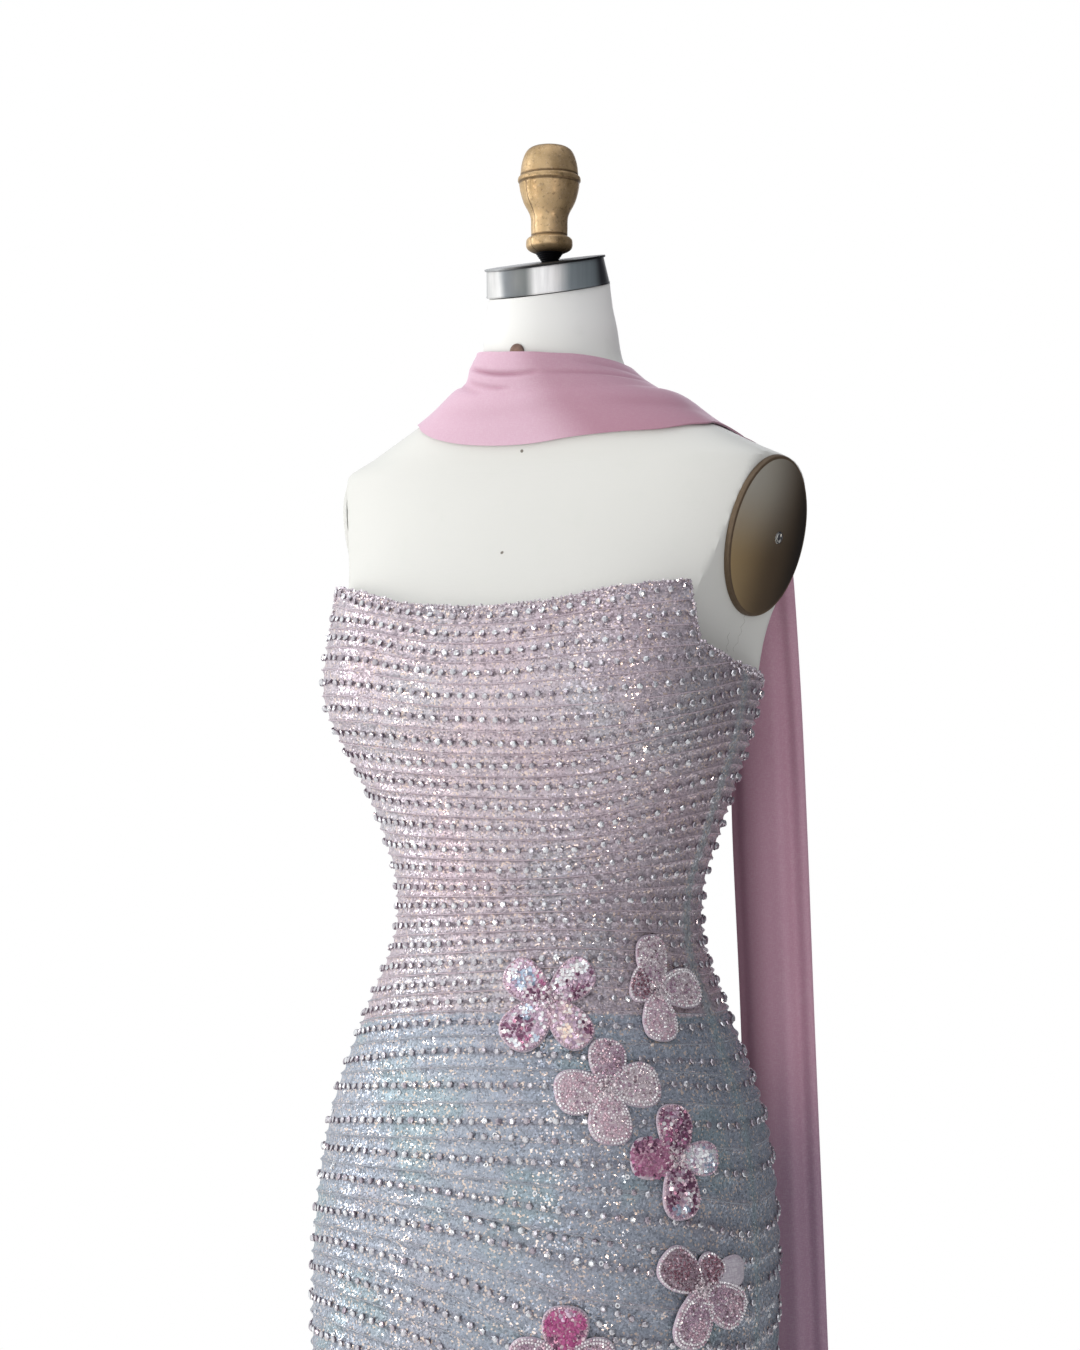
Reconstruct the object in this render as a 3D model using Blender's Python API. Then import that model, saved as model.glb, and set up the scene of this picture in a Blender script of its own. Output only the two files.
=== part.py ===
"""Beaded strapless evening gown with its neck scarf, on a limbless dress form with its own stand.

Metres, +Z up. The gown faces -Y and its left side is +X. The origin is on the floor, on the axis
of the form's pole. A place on the gown or on the form is given by its turn, the angle from the
centre front towards the left side, and by its height. A solid's surface is worked out from there.
"""

import math
from collections import namedtuple

import bmesh
import bpy
from mathutils import Matrix, Vector

MM = 0.001
UP = Vector((0, 0, 1))

# --- Driving sizes -----------------------------------------------------------------------------

SEAM_GAP = 0.3 * MM
CLOTH = 2.0 * MM          # beaded tulle on its backing
SCARF_CLOTH = 1.2 * MM    # chiffon, folded double
EASE = 0.8 * MM           # between the form and the inside of the gown

SIDE_SEAM = 85.5          # degrees from the centre front
HEM = 0.012
BODICE_ROWS_START = 1.218  # below this a row keeps one height all round
BODICE_ROWS = 4            # from there up to the neckline

FORM_BOTTOM = 0.742
FORM_PARTS_FROM_GOWN = BODICE_ROWS_START   # above this height the form has its own shape
FORM_OWN_SHAPE = 1.290
NECK_TOP = 1.5235              # middle of the neck's slanted top
NECK_SLANT = math.tan(math.radians(14.2))
NECK_AXIS_Y = -0.004

CAP_HEIGHT = 19.5 * MM
CAP_RADIUS_LOW = 44.0 * MM
CAP_RADIUS_HIGH = 42.0 * MM
BOLT_RADIUS = 7.0 * MM
FINIAL_BASE = 1.5510
FINIAL_Y = -0.0025

PLATE_HALF_HEIGHT = 56.0 * MM
PLATE_HALF_WIDTH = 45.0 * MM
PLATE_THICKNESS = 4.0 * MM
PLATE_BEVEL = 1.2 * MM
PLATE_CENTRE = Vector((0.160, 0.013, 1.345))
PLATE_NORMAL = Vector((0.961, -0.170, -0.218)).normalized()
SCREW_RADIUS = 3.4 * MM
SCREW_BACK = 9.0 * MM          # from the plate's centre towards the back

STUD_RADIUS = 5.7 * MM
STUD_THICKNESS = 1.6 * MM
STUD_HEIGHT = 1.4745

# Round heads, from their seat outwards: how far out, and how much smaller than the full radius.
Head = namedtuple("Head", "out inset")
SCREW_HEAD = (Head(0.0, 0.0), Head(0.8 * MM, 0.2 * MM), Head(1.3 * MM, 1.2 * MM))
STUD_HEAD = (Head(0.0, 0.0), Head(0.96 * MM, 0.4 * MM), Head(STUD_THICKNESS, 2.2 * MM))

POLE_RADIUS = 16.0 * MM
SOCKET_RADIUS = 27.0 * MM
SOCKET_HEIGHT = 34.0 * MM
SOCKET_FOOT = 4.0 * MM         # how far its foot spreads
SOCKET_FOOT_HEIGHT = 6.0 * MM
SOCKET_TAPER = 3.0 * MM
BASE_THICKNESS = 12.0 * MM
BASE_REACH = 0.180
BASE_HUB = 0.050
BASE_LEG_HALF_WIDTH = 0.020

ZIP_HEIGHT = 1.2225            # middle of the slider
SLIDER_HALF_LENGTH = 4.5 * MM
SLIDER_HALF_WIDTH = 3.2 * MM
SLIDER_PLATE = 1.8 * MM
BAIL_HALF_LENGTH = 2.6 * MM
BAIL_BAR = 1.0 * MM            # thickness of the bail's posts and beam
BAIL_CLEAR = 1.8 * MM          # under its beam
BAIL_HALF_WIDTH = 0.7 * MM
BAIL_SHOULDER = 0.4            # share of the bar at the bail's outer corners
PULL_LENGTH = 24.0 * MM
PULL_HALF_WIDTH = 2.4 * MM
PULL_THICKNESS = 0.8 * MM
PULL_HOLE_HALF_WIDTH = 1.2 * MM
PULL_HOLE_LENGTH = 4.4 * MM
PULL_PIVOT_UP = 0.6 * MM       # the pull's crossbar, above the middle of the slider
# The pull's outline below its hole: share of its half width and share of its length.
PullPlace = namedtuple("PullPlace", "width down")
PULL_OUTLINE = (PullPlace(0.62, 0.55), PullPlace(0.95, 0.82), PullPlace(0.60, 1.0))
PULL_BELOW_HOLE = 2.0 * MM

# --- Columns and rows of the grids -------------------------------------------------------------

# Turns of the gown's columns on its left half, in degrees. The neckline's peak is at 56.
FRONT_COLUMNS = (0, 8, 16, 24, 32, 40, 48, 56, 61, 69, 77, SIDE_SEAM)
BACK_COLUMNS = (SIDE_SEAM, 94, 103, 112, 121, 130, 139, 148, 157, 166, 173, 180)
# The form takes every second one, so that its corners lie behind the gown's.
FORM_COLUMNS = (0, 16, 32, 40, 48, 61, 77, 94, 112, 130, 148, 166)

SKIRT_ROWS = (HEM, 0.06, 0.12, 0.19, 0.27, 0.35, 0.43, 0.51, 0.585, 0.65, 0.705)
HIP_ROWS = (0.755, 0.800, 0.840, 0.875, 0.910, 0.940, 0.967, 0.992, 1.015, 1.037)
WAIST_ROWS = (1.058, 1.080, 1.102, 1.124, 1.146, 1.167, 1.186, 1.203, BODICE_ROWS_START)
FORM_UPPER_ROWS = (1.235, 1.252, 1.270, 1.288, 1.306, 1.325, 1.345, 1.365, 1.380, 1.390)
SHOULDER_ROWS = (1.398, 1.404, 1.410, 1.418, 1.427, 1.437, 1.448, 1.459, 1.472, 1.488)

# --- Section tables ----------------------------------------------------------------------------

# A horizontal section: half width, reach to the front and to the back from the pole's axis, and
# how square its front and back corners are (2 is an ellipse).
Section = namedtuple("Section", "height half_width front back front_square back_square")

GOWN_SECTIONS = (
    Section(0.008, 0.215, 0.205, 0.205, 2.0, 2.0),
    Section(0.160, 0.180, 0.170, 0.164, 2.0, 2.0),
    Section(0.400, 0.157, 0.146, 0.126, 2.1, 2.1),
    Section(0.620, 0.161, 0.150, 0.112, 2.2, 2.1),
    Section(0.770, 0.167, 0.154, 0.105, 2.3, 2.1),
    Section(0.860, 0.168, 0.148, 0.112, 2.3, 2.1),
    Section(0.940, 0.159, 0.1365, 0.109, 2.2, 2.1),
    Section(1.010, 0.1345, 0.1205, 0.0895, 2.1, 2.1),
    Section(1.060, 0.115, 0.102, 0.086, 2.1, 2.0),
    Section(1.100, 0.1135, 0.0975, 0.0855, 2.1, 2.0),
    Section(1.140, 0.126, 0.102, 0.088, 2.1, 2.0),
    Section(1.190, 0.142, 0.110, 0.1035, 2.2, 2.0),
    Section(1.240, 0.153, 0.115, 0.107, 2.3, 2.2),
    Section(1.290, 0.158, 0.104, 0.105, 2.4, 2.4),
    Section(1.330, 0.164, 0.096, 0.105, 2.4, 2.4),
)

FORM_SECTIONS = (
    Section(1.235, 0.1475, 0.106, 0.1015, 2.2, 2.1),
    Section(1.290, 0.155, 0.088, 0.101, 2.3, 2.9),
    Section(1.335, 0.170, 0.066, 0.104, 2.3, 4.0),
    Section(1.375, 0.176, 0.050, 0.102, 2.3, 4.0),
    Section(1.398, 0.172, 0.042, 0.094, 2.3, 3.6),
    Section(1.409, 0.151, 0.041, 0.089, 2.2, 3.0),
    Section(1.420, 0.130, 0.041, 0.081, 2.2, 2.5),
    Section(1.434, 0.104, 0.042, 0.069, 2.1, 2.2),
    Section(1.450, 0.076, 0.044, 0.060, 2.1, 2.1),
    Section(1.470, 0.0525, 0.047, 0.056, 2.0, 2.0),
    Section(1.500, 0.0478, 0.048, 0.048, 2.0, 2.0),
    Section(1.560, 0.0425, 0.049, 0.031, 2.0, 2.0),
)

# The bust: two rounded rises on the section, each a bell in turn and in height.
BUST_TURN = math.radians(41.0)
BUST_HEIGHT = 1.232
BUST_RISE = 19.0 * MM
BUST_SPREAD_TURN = math.radians(27.0)
BUST_SPREAD_ABOVE = 0.050
BUST_SPREAD_BELOW = 0.034

# Soft flutes in the lower skirt.
FLUTES = 8
FLUTE_DEPTH = 9.0 * MM         # at the hem
FLUTE_TOP = 0.52

# The gown's top edge: its height at each turn, in degrees, the same on both sides.
Edge = namedtuple("Edge", "turn height")

NECKLINE = (
    Edge(0, 1.296),
    Edge(16, 1.299),
    Edge(32, 1.308),
    Edge(48, 1.312),
    Edge(56, 1.313),
    Edge(61, 1.273),
    Edge(77, 1.260),
    Edge(103, 1.248),
    Edge(139, 1.240),
    Edge(180, 1.238),
)

# The scarf's front stretch lies on the form from one shoulder's back to the other's. Its edges
# and how far its inside is from the form: at the lower edge, in the crease and in the roll above.
Scarf = namedtuple("Scarf", "turn low high low_gap crease_gap roll_gap")

SCARF_FRONT = (
    Scarf(-116, 1.412, 1.474, 1.4, 1.4, 1.6),
    Scarf(-90, 1.421, 1.479, 1.4, 1.2, 3.4),
    Scarf(-50, 1.415, 1.478, 1.6, 1.2, 4.2),
    Scarf(0, 1.409, 1.4745, 1.6, 2.4, 3.6),
    Scarf(45, 1.413, 1.471, 1.6, 2.2, 2.6),
    Scarf(90, 1.417, 1.465, 1.4, 1.6, 1.8),
    Scarf(116, 1.412, 1.462, 1.4, 1.4, 1.6),
)
SCARF_FRONT_COLUMNS = 30
SCARF_FRONT_ROWS = 8
SCARF_CREASE = 0.56            # share of the way from the lower to the upper edge
SCARF_FULLNESS = 0.9           # mm, how far it bulges between its lower edge and the crease
SCARF_ROLL_SHARE = 0.62        # the roll is full at this share of the way up from the crease

# The left tail, from its upper end down: its edge on the neck's side, its outer edge and the
# depth of its folds, in millimetres. The other tail is its mirror image.
Tail = namedtuple("Tail", "near_x near_y near_z far_x far_y far_z fold")
NumberedTail = namedtuple("NumberedTail", ("number", *Tail._fields))

TAIL_ROWS = (
    Tail(70, 100, 1390, 133, 108, 1372, 1.5),
    Tail(78, 106, 1345, 134, 120, 1335, 3.0),
    Tail(84, 110, 1290, 135, 128, 1285, 4.5),
    Tail(88, 112, 1220, 136, 136, 1218, 6.0),
    Tail(90, 113, 1130, 138, 141, 1130, 6.5),
    Tail(95, 116, 1000, 142, 144, 1000, 6.5),
    Tail(99, 120, 840, 148, 147, 840, 6.5),
    Tail(103, 126, 670, 154, 151, 670, 6.0),
    Tail(107, 136, 500, 160, 161, 500, 5.0),
)
TAIL_FOLDS = 3
TAIL_FOLD_START = 0.6          # where in a fold's wave the inner edge lies, in radians
TAIL_COLUMNS = 12
TAIL_STEPS = 2                 # rows of the mesh for each row of the table
TAIL_OVER_SHOULDER = 3         # rows between the shoulder and the table's first row
TAIL_LIFT = Vector((0, 9, 11)) * MM   # clear of the shoulder, halfway over it

# Flower appliques: place, spin, size, and how deep the notches between the four petals are.
Flower = namedtuple("Flower", "turn height spin half_width half_height")

FLOWERS = (
    Flower(25, 1.036, 45, 33.0, 32.0),
    Flower(63, 1.040, 8, 27.0, 37.0),
    Flower(41, 0.981, 4, 36.0, 36.0),
    Flower(59, 0.938, 6, 33.0, 37.0),
    Flower(61, 0.853, 14, 36.0, 35.0),
    Flower(29, 0.820, 5, 34.0, 36.0),
)
PETAL_NOTCH = 0.46
PETAL_POINTS = 7
FLOWER_TOP_RINGS = (0.34, 0.72, 1.0)
FLOWER_UNDER_RINGS = (0.5, 1.0)
FLOWER_SEAT = 0.9 * MM
FLOWER_EDGE = 1.6 * MM
PETAL_RISE = 2.2 * MM
FLOWER_HEART = 2.6 * MM

Turned = namedtuple("Turned", "height radius")

FINIAL = (
    Turned(0, 10.5),
    Turned(2.0, 14.0),
    Turned(5.0, 16.4),
    Turned(8.0, 16.2),
    Turned(11.5, 13.5),
    Turned(18.6, 13.8),
    Turned(25.5, 14.2),
    Turned(31.5, 15.6),
    Turned(40.0, 19.6),
    Turned(48.5, 21.2),
    Turned(51.8, 21.3),
    Turned(53.5, 22.5),
    Turned(56.0, 22.3),
    Turned(57.2, 21.1),
    Turned(65.7, 20.0),
    Turned(73.5, 17.2),
    Turned(77.2, 13.4),
    Turned(79.0, 7.5),
)

# --- Finding a row of a table, and a point on a surface ----------------------------------------


def smooth_row(table, where):
    """The table's row at this value of its first column, on one smooth curve through its rows."""
    where = min(max(where, table[0][0]), table[-1][0])
    upper = 1
    while upper < len(table) - 1 and table[upper][0] < where:
        upper += 1
    last = len(table) - 1
    rows = [table[max(upper - 2, 0)], table[upper - 1], table[upper], table[min(upper + 1, last)]]
    stops = [row[0] for row in rows]
    span = stops[2] - stops[1]
    share = (where - stops[1]) / span
    values = [where]
    for column in range(1, len(table[0])):
        v = [row[column] for row in rows]
        leaving = span * (v[2] - v[0]) / (stops[2] - stops[0])
        arriving = span * (v[3] - v[1]) / (stops[3] - stops[1])
        values.append(
            v[1] * (1 + 2 * share) * (1 - share) ** 2
            + leaving * share * (1 - share) ** 2
            + v[2] * share * share * (3 - 2 * share)
            + arriving * share * share * (share - 1)
        )
    return type(table[0])(*values)


def straight_row(table, where):
    """The table's row at this value of its first column, on straight lines between its rows."""
    for low, high in zip(table, table[1:]):
        if where <= high[0]:
            break
    share = (where - low[0]) / (high[0] - low[0])
    return type(low)(*(a + (b - a) * share for a, b in zip(low, high)))


def ease(value):
    """Nought to one, level at both ends."""
    value = min(max(value, 0.0), 1.0)
    return value * value * (3 - 2 * value)


def rounded(value, square):
    """A sine or cosine, pushed outwards for a section that is squarer than an ellipse."""
    return math.copysign(abs(value) ** (2 / square), value)


def bust_rise(turn, height):
    spread = BUST_SPREAD_ABOVE if height > BUST_HEIGHT else BUST_SPREAD_BELOW
    vertical = math.exp(-(((height - BUST_HEIGHT) / spread) ** 2) / 2)
    around = 0.0
    for side in (-1, 1):
        away = (turn - side * BUST_TURN + math.pi) % (2 * math.pi) - math.pi
        around += math.exp(-((away / BUST_SPREAD_TURN) ** 2) / 2)
    return BUST_RISE * vertical * around


def section_point(row, turn):
    """A point of the section, at this turn from the centre front towards the left."""
    across, ahead = math.sin(turn), math.cos(turn)
    square = row.front_square if ahead > 0 else row.back_square
    reach = row.front if ahead > 0 else row.back
    x = row.half_width * rounded(across, square)
    y = -reach * rounded(ahead, square)
    return Vector((x, y, row.height)) + Vector((across, -ahead, 0)) * bust_rise(turn, row.height)


def outward(surface, turn, height):
    """The level direction straight out of a surface, which is given as a function."""
    step = 0.01
    along = surface(turn + step, height) - surface(turn - step, height)
    return along.cross(UP).normalized()


def normal(surface, turn, height):
    """The direction square to a surface."""
    step = 0.01
    rise = 0.5 * MM
    along = surface(turn + step, height) - surface(turn - step, height)
    upward = surface(turn, height + rise) - surface(turn, height - rise)
    return along.cross(upward).normalized()


def plain_gown_point(turn, height):
    return section_point(smooth_row(GOWN_SECTIONS, height), turn)


def gown_point(turn, height, inset=0.0):
    """The gown's outer face, or a face that lies inside it."""
    flute = FLUTE_DEPTH * ease((FLUTE_TOP - height) / FLUTE_TOP) * math.cos(FLUTES * turn)
    return plain_gown_point(turn, height) + outward(plain_gown_point, turn, height) * (flute - inset)


def form_point(turn, height):
    """The dress form's surface: the gown's, then its own, cut flat where the arm plates go."""
    parting = ease((height - FORM_PARTS_FROM_GOWN) / (FORM_OWN_SHAPE - FORM_PARTS_FROM_GOWN))
    point = Vector((0, 0, 0))
    if parting < 1:
        point += gown_point(turn, height, CLOTH + EASE) * (1 - parting)
    if parting > 0:
        point += section_point(smooth_row(FORM_SECTIONS, height), turn) * parting
    for side in (-1, 1):
        facing = mirrored(PLATE_NORMAL, side)
        outside = (point - mirrored(PLATE_CENTRE, side)).dot(facing)
        if outside > 0:
            point.x -= outside / facing.x
    return point


def mirrored(vector, side):
    """The vector on the left side, which is 1, or its mirror image on the right, which is -1."""
    return Vector((vector.x * side, vector.y, vector.z))


# --- Building meshes ---------------------------------------------------------------------------


def new_material(name, colour, roughness, metallic=0.0):
    material = bpy.data.materials.new(name)
    material.use_nodes = True
    shader = material.node_tree.nodes["Principled BSDF"]
    shader.inputs["Base Color"].default_value = (*colour, 1.0)
    shader.inputs["Roughness"].default_value = roughness
    shader.inputs["Metallic"].default_value = metallic
    material.diffuse_color = (*colour, 1.0)
    return material


def add_object(name, points, faces, material, sharp_angle=40):
    mesh = bpy.data.meshes.new(name)
    mesh.from_pydata(points, [], faces)
    surface = bmesh.new()
    surface.from_mesh(mesh)
    bmesh.ops.recalc_face_normals(surface, faces=surface.faces)
    surface.to_mesh(mesh)
    surface.free()
    mesh.shade_smooth()
    mesh.set_sharp_from_angle(angle=math.radians(sharp_angle))
    mesh.materials.append(material)
    piece = bpy.data.objects.new(name, mesh)
    bpy.context.scene.collection.objects.link(piece)
    return piece


def wall_object(name, outside, inside, material):
    """A cloth wall between two grids of points, rows of columns, closed round its four edges."""
    rows, columns = len(outside), len(outside[0])
    count = rows * columns
    points = [p for row in outside for p in row] + [p for row in inside for p in row]

    def quads(offset):
        return [
            tuple(offset + r * columns + c for r, c in corners)
            for row in range(rows - 1)
            for column in range(columns - 1)
            for corners in [((row, column), (row, column + 1), (row + 1, column + 1), (row + 1, column))]
        ]

    rim = [c for c in range(columns)]
    rim += [r * columns + columns - 1 for r in range(1, rows)]
    rim += [(rows - 1) * columns + c for c in reversed(range(columns - 1))]
    rim += [r * columns for r in reversed(range(1, rows - 1))]
    faces = quads(0) + quads(count)
    for a, b in zip(rim, rim[1:] + rim[:1]):
        faces.append((a, b, b + count, a + count))
    return add_object(name, points, faces, material)


def ringed_object(name, rings, material, sharp_angle=40):
    """A solid through rings with the same number of points, with a flat cap at both ends."""
    size = len(rings[0])
    points = [p for ring in rings for p in ring]
    faces = [tuple(range(size)), tuple(range(len(points) - size, len(points)))]
    for ring in range(len(rings) - 1):
        for k in range(size):
            after = (k + 1) % size
            a = ring * size
            faces.append((a + k, a + after, a + size + after, a + size + k))
    return add_object(name, points, faces, material, sharp_angle)


def circle(centre, across, upward, radius, sides, other_radius=None):
    other_radius = radius if other_radius is None else other_radius
    return [
        centre
        + across * (radius * math.cos(2 * math.pi * k / sides))
        + upward * (other_radius * math.sin(2 * math.pi * k / sides))
        for k in range(sides)
    ]


def level_circle(x, y, z, radius, sides):
    return circle(Vector((x, y, z)), Vector((1, 0, 0)), Vector((0, 1, 0)), radius, sides)


# --- The gown ----------------------------------------------------------------------------------


def neckline_height(turn):
    return straight_row(NECKLINE, abs(math.degrees(turn))).height


def gown_rows(turn):
    heights = list(SKIRT_ROWS + HIP_ROWS + WAIST_ROWS)
    top = neckline_height(turn)
    for step in range(1, BODICE_ROWS + 1):
        heights.append(BODICE_ROWS_START + (top - BODICE_ROWS_START) * step / BODICE_ROWS)
    return heights


def gown_panel(name, columns, material):
    """A panel of the gown between two seams, from the turns of its columns in degrees."""
    turns = [math.radians(c) for c in columns]
    stacks = [gown_rows(turn) for turn in turns]
    faces = []
    for inset in (0.0, CLOTH):
        grid = []
        for row in range(len(stacks[0])):
            line = [gown_point(turn, stack[row], inset) for turn, stack in zip(turns, stacks)]
            for end, inner_side in ((0, 1), (-1, -1)):
                along = outward(plain_gown_point, turns[end], stacks[end][row]).cross(UP)
                line[end] = line[end] - along * (inner_side * SEAM_GAP / 2)
            grid.append(line)
        faces.append(grid)
    return wall_object(name, faces[0], faces[1], material)


def make_gown(material):
    front = [-c for c in reversed(FRONT_COLUMNS[1:])] + list(FRONT_COLUMNS)
    gown_panel("gown_front", front, material)
    gown_panel("gown_back_left", BACK_COLUMNS, material)
    gown_panel("gown_back_right", [-c for c in reversed(BACK_COLUMNS)], material)


def flower_outline(angle):
    return PETAL_NOTCH + (1 - PETAL_NOTCH) * abs(math.cos(2 * angle)) ** 0.6


def make_flower(number, flower, material):
    """An applique on the gown's surface: four domed petals round a raised heart."""
    turn, height = math.radians(flower.turn), flower.height
    step = 0.01
    around = (gown_point(turn + step, height) - gown_point(turn - step, height)).length / (2 * step)
    spin = math.radians(flower.spin)
    count = 4 * PETAL_POINTS

    def place(angle, share, lift):
        reach = flower_outline(angle) * share * MM
        right = flower.half_width * reach * math.cos(angle + spin)
        above = flower.half_height * reach * math.sin(angle + spin)
        there = (turn + right / around, height + above)
        return gown_point(*there) + normal(gown_point, *there) * lift

    def top_lift(angle, share):
        if share == 1:
            return FLOWER_SEAT + FLOWER_EDGE
        dome = PETAL_RISE * math.sin(math.pi * share) * abs(math.cos(2 * angle)) ** 0.5
        return FLOWER_SEAT + FLOWER_EDGE + dome

    angles = [2 * math.pi * k / count for k in range(count)]
    points = [place(a, share, top_lift(a, share)) for share in FLOWER_TOP_RINGS for a in angles]
    points += [place(a, share, FLOWER_SEAT) for share in reversed(FLOWER_UNDER_RINGS) for a in angles]
    rings = len(FLOWER_TOP_RINGS) + len(FLOWER_UNDER_RINGS)
    heart, seat = len(points), len(points) + 1
    points.append(place(0, 0, FLOWER_SEAT + FLOWER_EDGE + FLOWER_HEART))
    points.append(place(0, 0, FLOWER_SEAT))
    faces = []
    for k in range(count):
        after = (k + 1) % count
        faces.append((heart, k, after))
        for ring in range(rings - 1):
            a, b = ring * count, (ring + 1) * count
            faces.append((a + k, b + k, b + after, a + after))
        last = (rings - 1) * count
        faces.append((seat, last + after, last + k))
    return add_object(f"flower_{number}", points, faces, material, sharp_angle=60)


# --- The zip at the centre back ----------------------------------------------------------------


def box_points(low, high):
    spans = list(zip(low, high))
    return [Vector((x, y, z)) for z in spans[2] for y in spans[1] for x in spans[0]]


BOX_FACES = ((0, 1, 3, 2), (4, 5, 7, 6), (0, 1, 5, 4), (2, 3, 7, 6), (0, 2, 6, 4), (1, 3, 7, 5))


def zip_face_y():
    """How far back the slider's underside lies: just clear of the gown over its whole length."""
    heights = (ZIP_HEIGHT + SLIDER_HALF_LENGTH * share for share in (-1, 0, 1))
    return max(gown_point(math.pi, height).y for height in heights) + SEAM_GAP


def make_slider(material):
    """The slider's plate, with its bail cut out as a solid of one side view."""
    y = zip_face_y()
    top = y + SLIDER_PLATE
    beam = top + BAIL_CLEAR
    z = ZIP_HEIGHT
    plate = box_points(
        (-SLIDER_HALF_WIDTH, y, z - SLIDER_HALF_LENGTH), (SLIDER_HALF_WIDTH, top, z + SLIDER_HALF_LENGTH)
    )
    slider = add_object("zip_slider", plate, BOX_FACES, material)
    bail_out = BAIL_HALF_LENGTH + BAIL_BAR
    outline = (
        (-bail_out, top - SLIDER_PLATE / 2),
        (-BAIL_HALF_LENGTH, top - SLIDER_PLATE / 2),
        (-BAIL_HALF_LENGTH, beam),
        (BAIL_HALF_LENGTH, beam),
        (BAIL_HALF_LENGTH, top - SLIDER_PLATE / 2),
        (bail_out, top - SLIDER_PLATE / 2),
        (bail_out, beam + BAIL_BAR * BAIL_SHOULDER),
        (BAIL_HALF_LENGTH, beam + BAIL_BAR),
        (-BAIL_HALF_LENGTH, beam + BAIL_BAR),
        (-bail_out, beam + BAIL_BAR * BAIL_SHOULDER),
    )
    widths = (-BAIL_HALF_WIDTH, BAIL_HALF_WIDTH)
    sides = [[Vector((x, out, z + up)) for up, out in outline] for x in widths]
    bail = ringed_object("zip_bail_tool", sides, material)
    join = slider.modifiers.new("Bail", "BOOLEAN")
    join.operation = "UNION"
    join.object = bail
    bail.hide_render = True
    bail.display_type = "WIRE"
    return slider


def make_pull(material):
    """The pull tab hangs from its crossbar, which lies under the bail. Its origin is the pivot."""
    middle = zip_face_y() + SLIDER_PLATE + BAIL_CLEAR / 2
    bar = PULL_THICKNESS / 2
    right = [(PULL_HALF_WIDTH, bar), (PULL_HALF_WIDTH, -PULL_HOLE_LENGTH - PULL_BELOW_HOLE)]
    right += [(PULL_HALF_WIDTH * place.width, -PULL_LENGTH * place.down) for place in PULL_OUTLINE]
    outer = right + [(-x, up) for x, up in reversed(right)]
    faces = [[Vector((x, out, up)) for x, up in outer] for out in (-bar, bar)]
    pull = ringed_object("zip_pull", faces, material)
    hole = add_object(
        "zip_pull_hole_tool",
        box_points(
            (-PULL_HOLE_HALF_WIDTH, -2 * bar, -bar - PULL_HOLE_LENGTH), (PULL_HOLE_HALF_WIDTH, 2 * bar, -bar)
        ),
        BOX_FACES,
        material,
    )
    hole.hide_render = True
    hole.display_type = "WIRE"
    pull.location = (0, middle, ZIP_HEIGHT + PULL_PIVOT_UP)
    hole.parent = pull
    cut = pull.modifiers.new("Hole", "BOOLEAN")
    cut.operation = "DIFFERENCE"
    cut.object = hole
    return pull


# --- The scarf ---------------------------------------------------------------------------------


def scarf_front_point(turn, share, out):
    """A point of the front stretch, at this share of the way from its lower to its upper edge."""
    row = smooth_row(SCARF_FRONT, math.degrees(turn))
    height = row.low + (row.high - row.low) * share
    if share < SCARF_CREASE:
        fullness = math.sin(math.pi * share / SCARF_CREASE)
        gap = row.low_gap + (row.crease_gap - row.low_gap) * share / SCARF_CREASE + SCARF_FULLNESS * fullness
    else:
        roll = (share - SCARF_CREASE) / (1 - SCARF_CREASE)
        gap = row.crease_gap + (row.roll_gap - row.crease_gap) * ease(roll / SCARF_ROLL_SHARE)
    return form_point(turn, height) + normal(form_point, turn, height) * (gap * MM + out)


def scarf_front_turns():
    ends = math.radians(SCARF_FRONT[0].turn), math.radians(SCARF_FRONT[-1].turn)
    return [ends[0] + (ends[1] - ends[0]) * k / SCARF_FRONT_COLUMNS for k in range(SCARF_FRONT_COLUMNS + 1)]


def make_scarf_front(material):
    shares = [k / SCARF_FRONT_ROWS for k in range(SCARF_FRONT_ROWS + 1)]
    turns = scarf_front_turns()
    inside = [[scarf_front_point(turn, share, 0.0) for turn in turns] for share in shares]
    outside = [[scarf_front_point(turn, share, SCARF_CLOTH) for turn in turns] for share in shares]
    return wall_object("scarf_front", outside, inside, material)


def tail_edges(side):
    """The tail's two edges, row by row from its upper end, with the depth of the folds."""
    end_turn = side * math.radians(SCARF_FRONT[-1].turn)
    near = scarf_front_point(end_turn, 1.0, SCARF_CLOTH / 2)
    far = scarf_front_point(end_turn, 0.0, SCARF_CLOTH / 2)
    first = TAIL_ROWS[0]
    below_near = mirrored(Vector((first.near_x, first.near_y, first.near_z)) * MM, side)
    below_far = mirrored(Vector((first.far_x, first.far_y, first.far_z)) * MM, side)
    rows = []
    for step in range(TAIL_OVER_SHOULDER):
        share = step / TAIL_OVER_SHOULDER
        lift = TAIL_LIFT * math.sin(math.pi * share)
        edges = (near.lerp(below_near, share) + lift, far.lerp(below_far, share) + lift)
        rows.append((*edges, first.fold * share))
    table = [NumberedTail(number, *row) for number, row in enumerate(TAIL_ROWS)]
    for step in range((len(TAIL_ROWS) - 1) * TAIL_STEPS + 1):
        row = smooth_row(table, step / TAIL_STEPS)
        near = mirrored(Vector((row.near_x, row.near_y, row.near_z)) * MM, side)
        far = mirrored(Vector((row.far_x, row.far_y, row.far_z)) * MM, side)
        rows.append((near, far, row.fold))
    return rows


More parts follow.
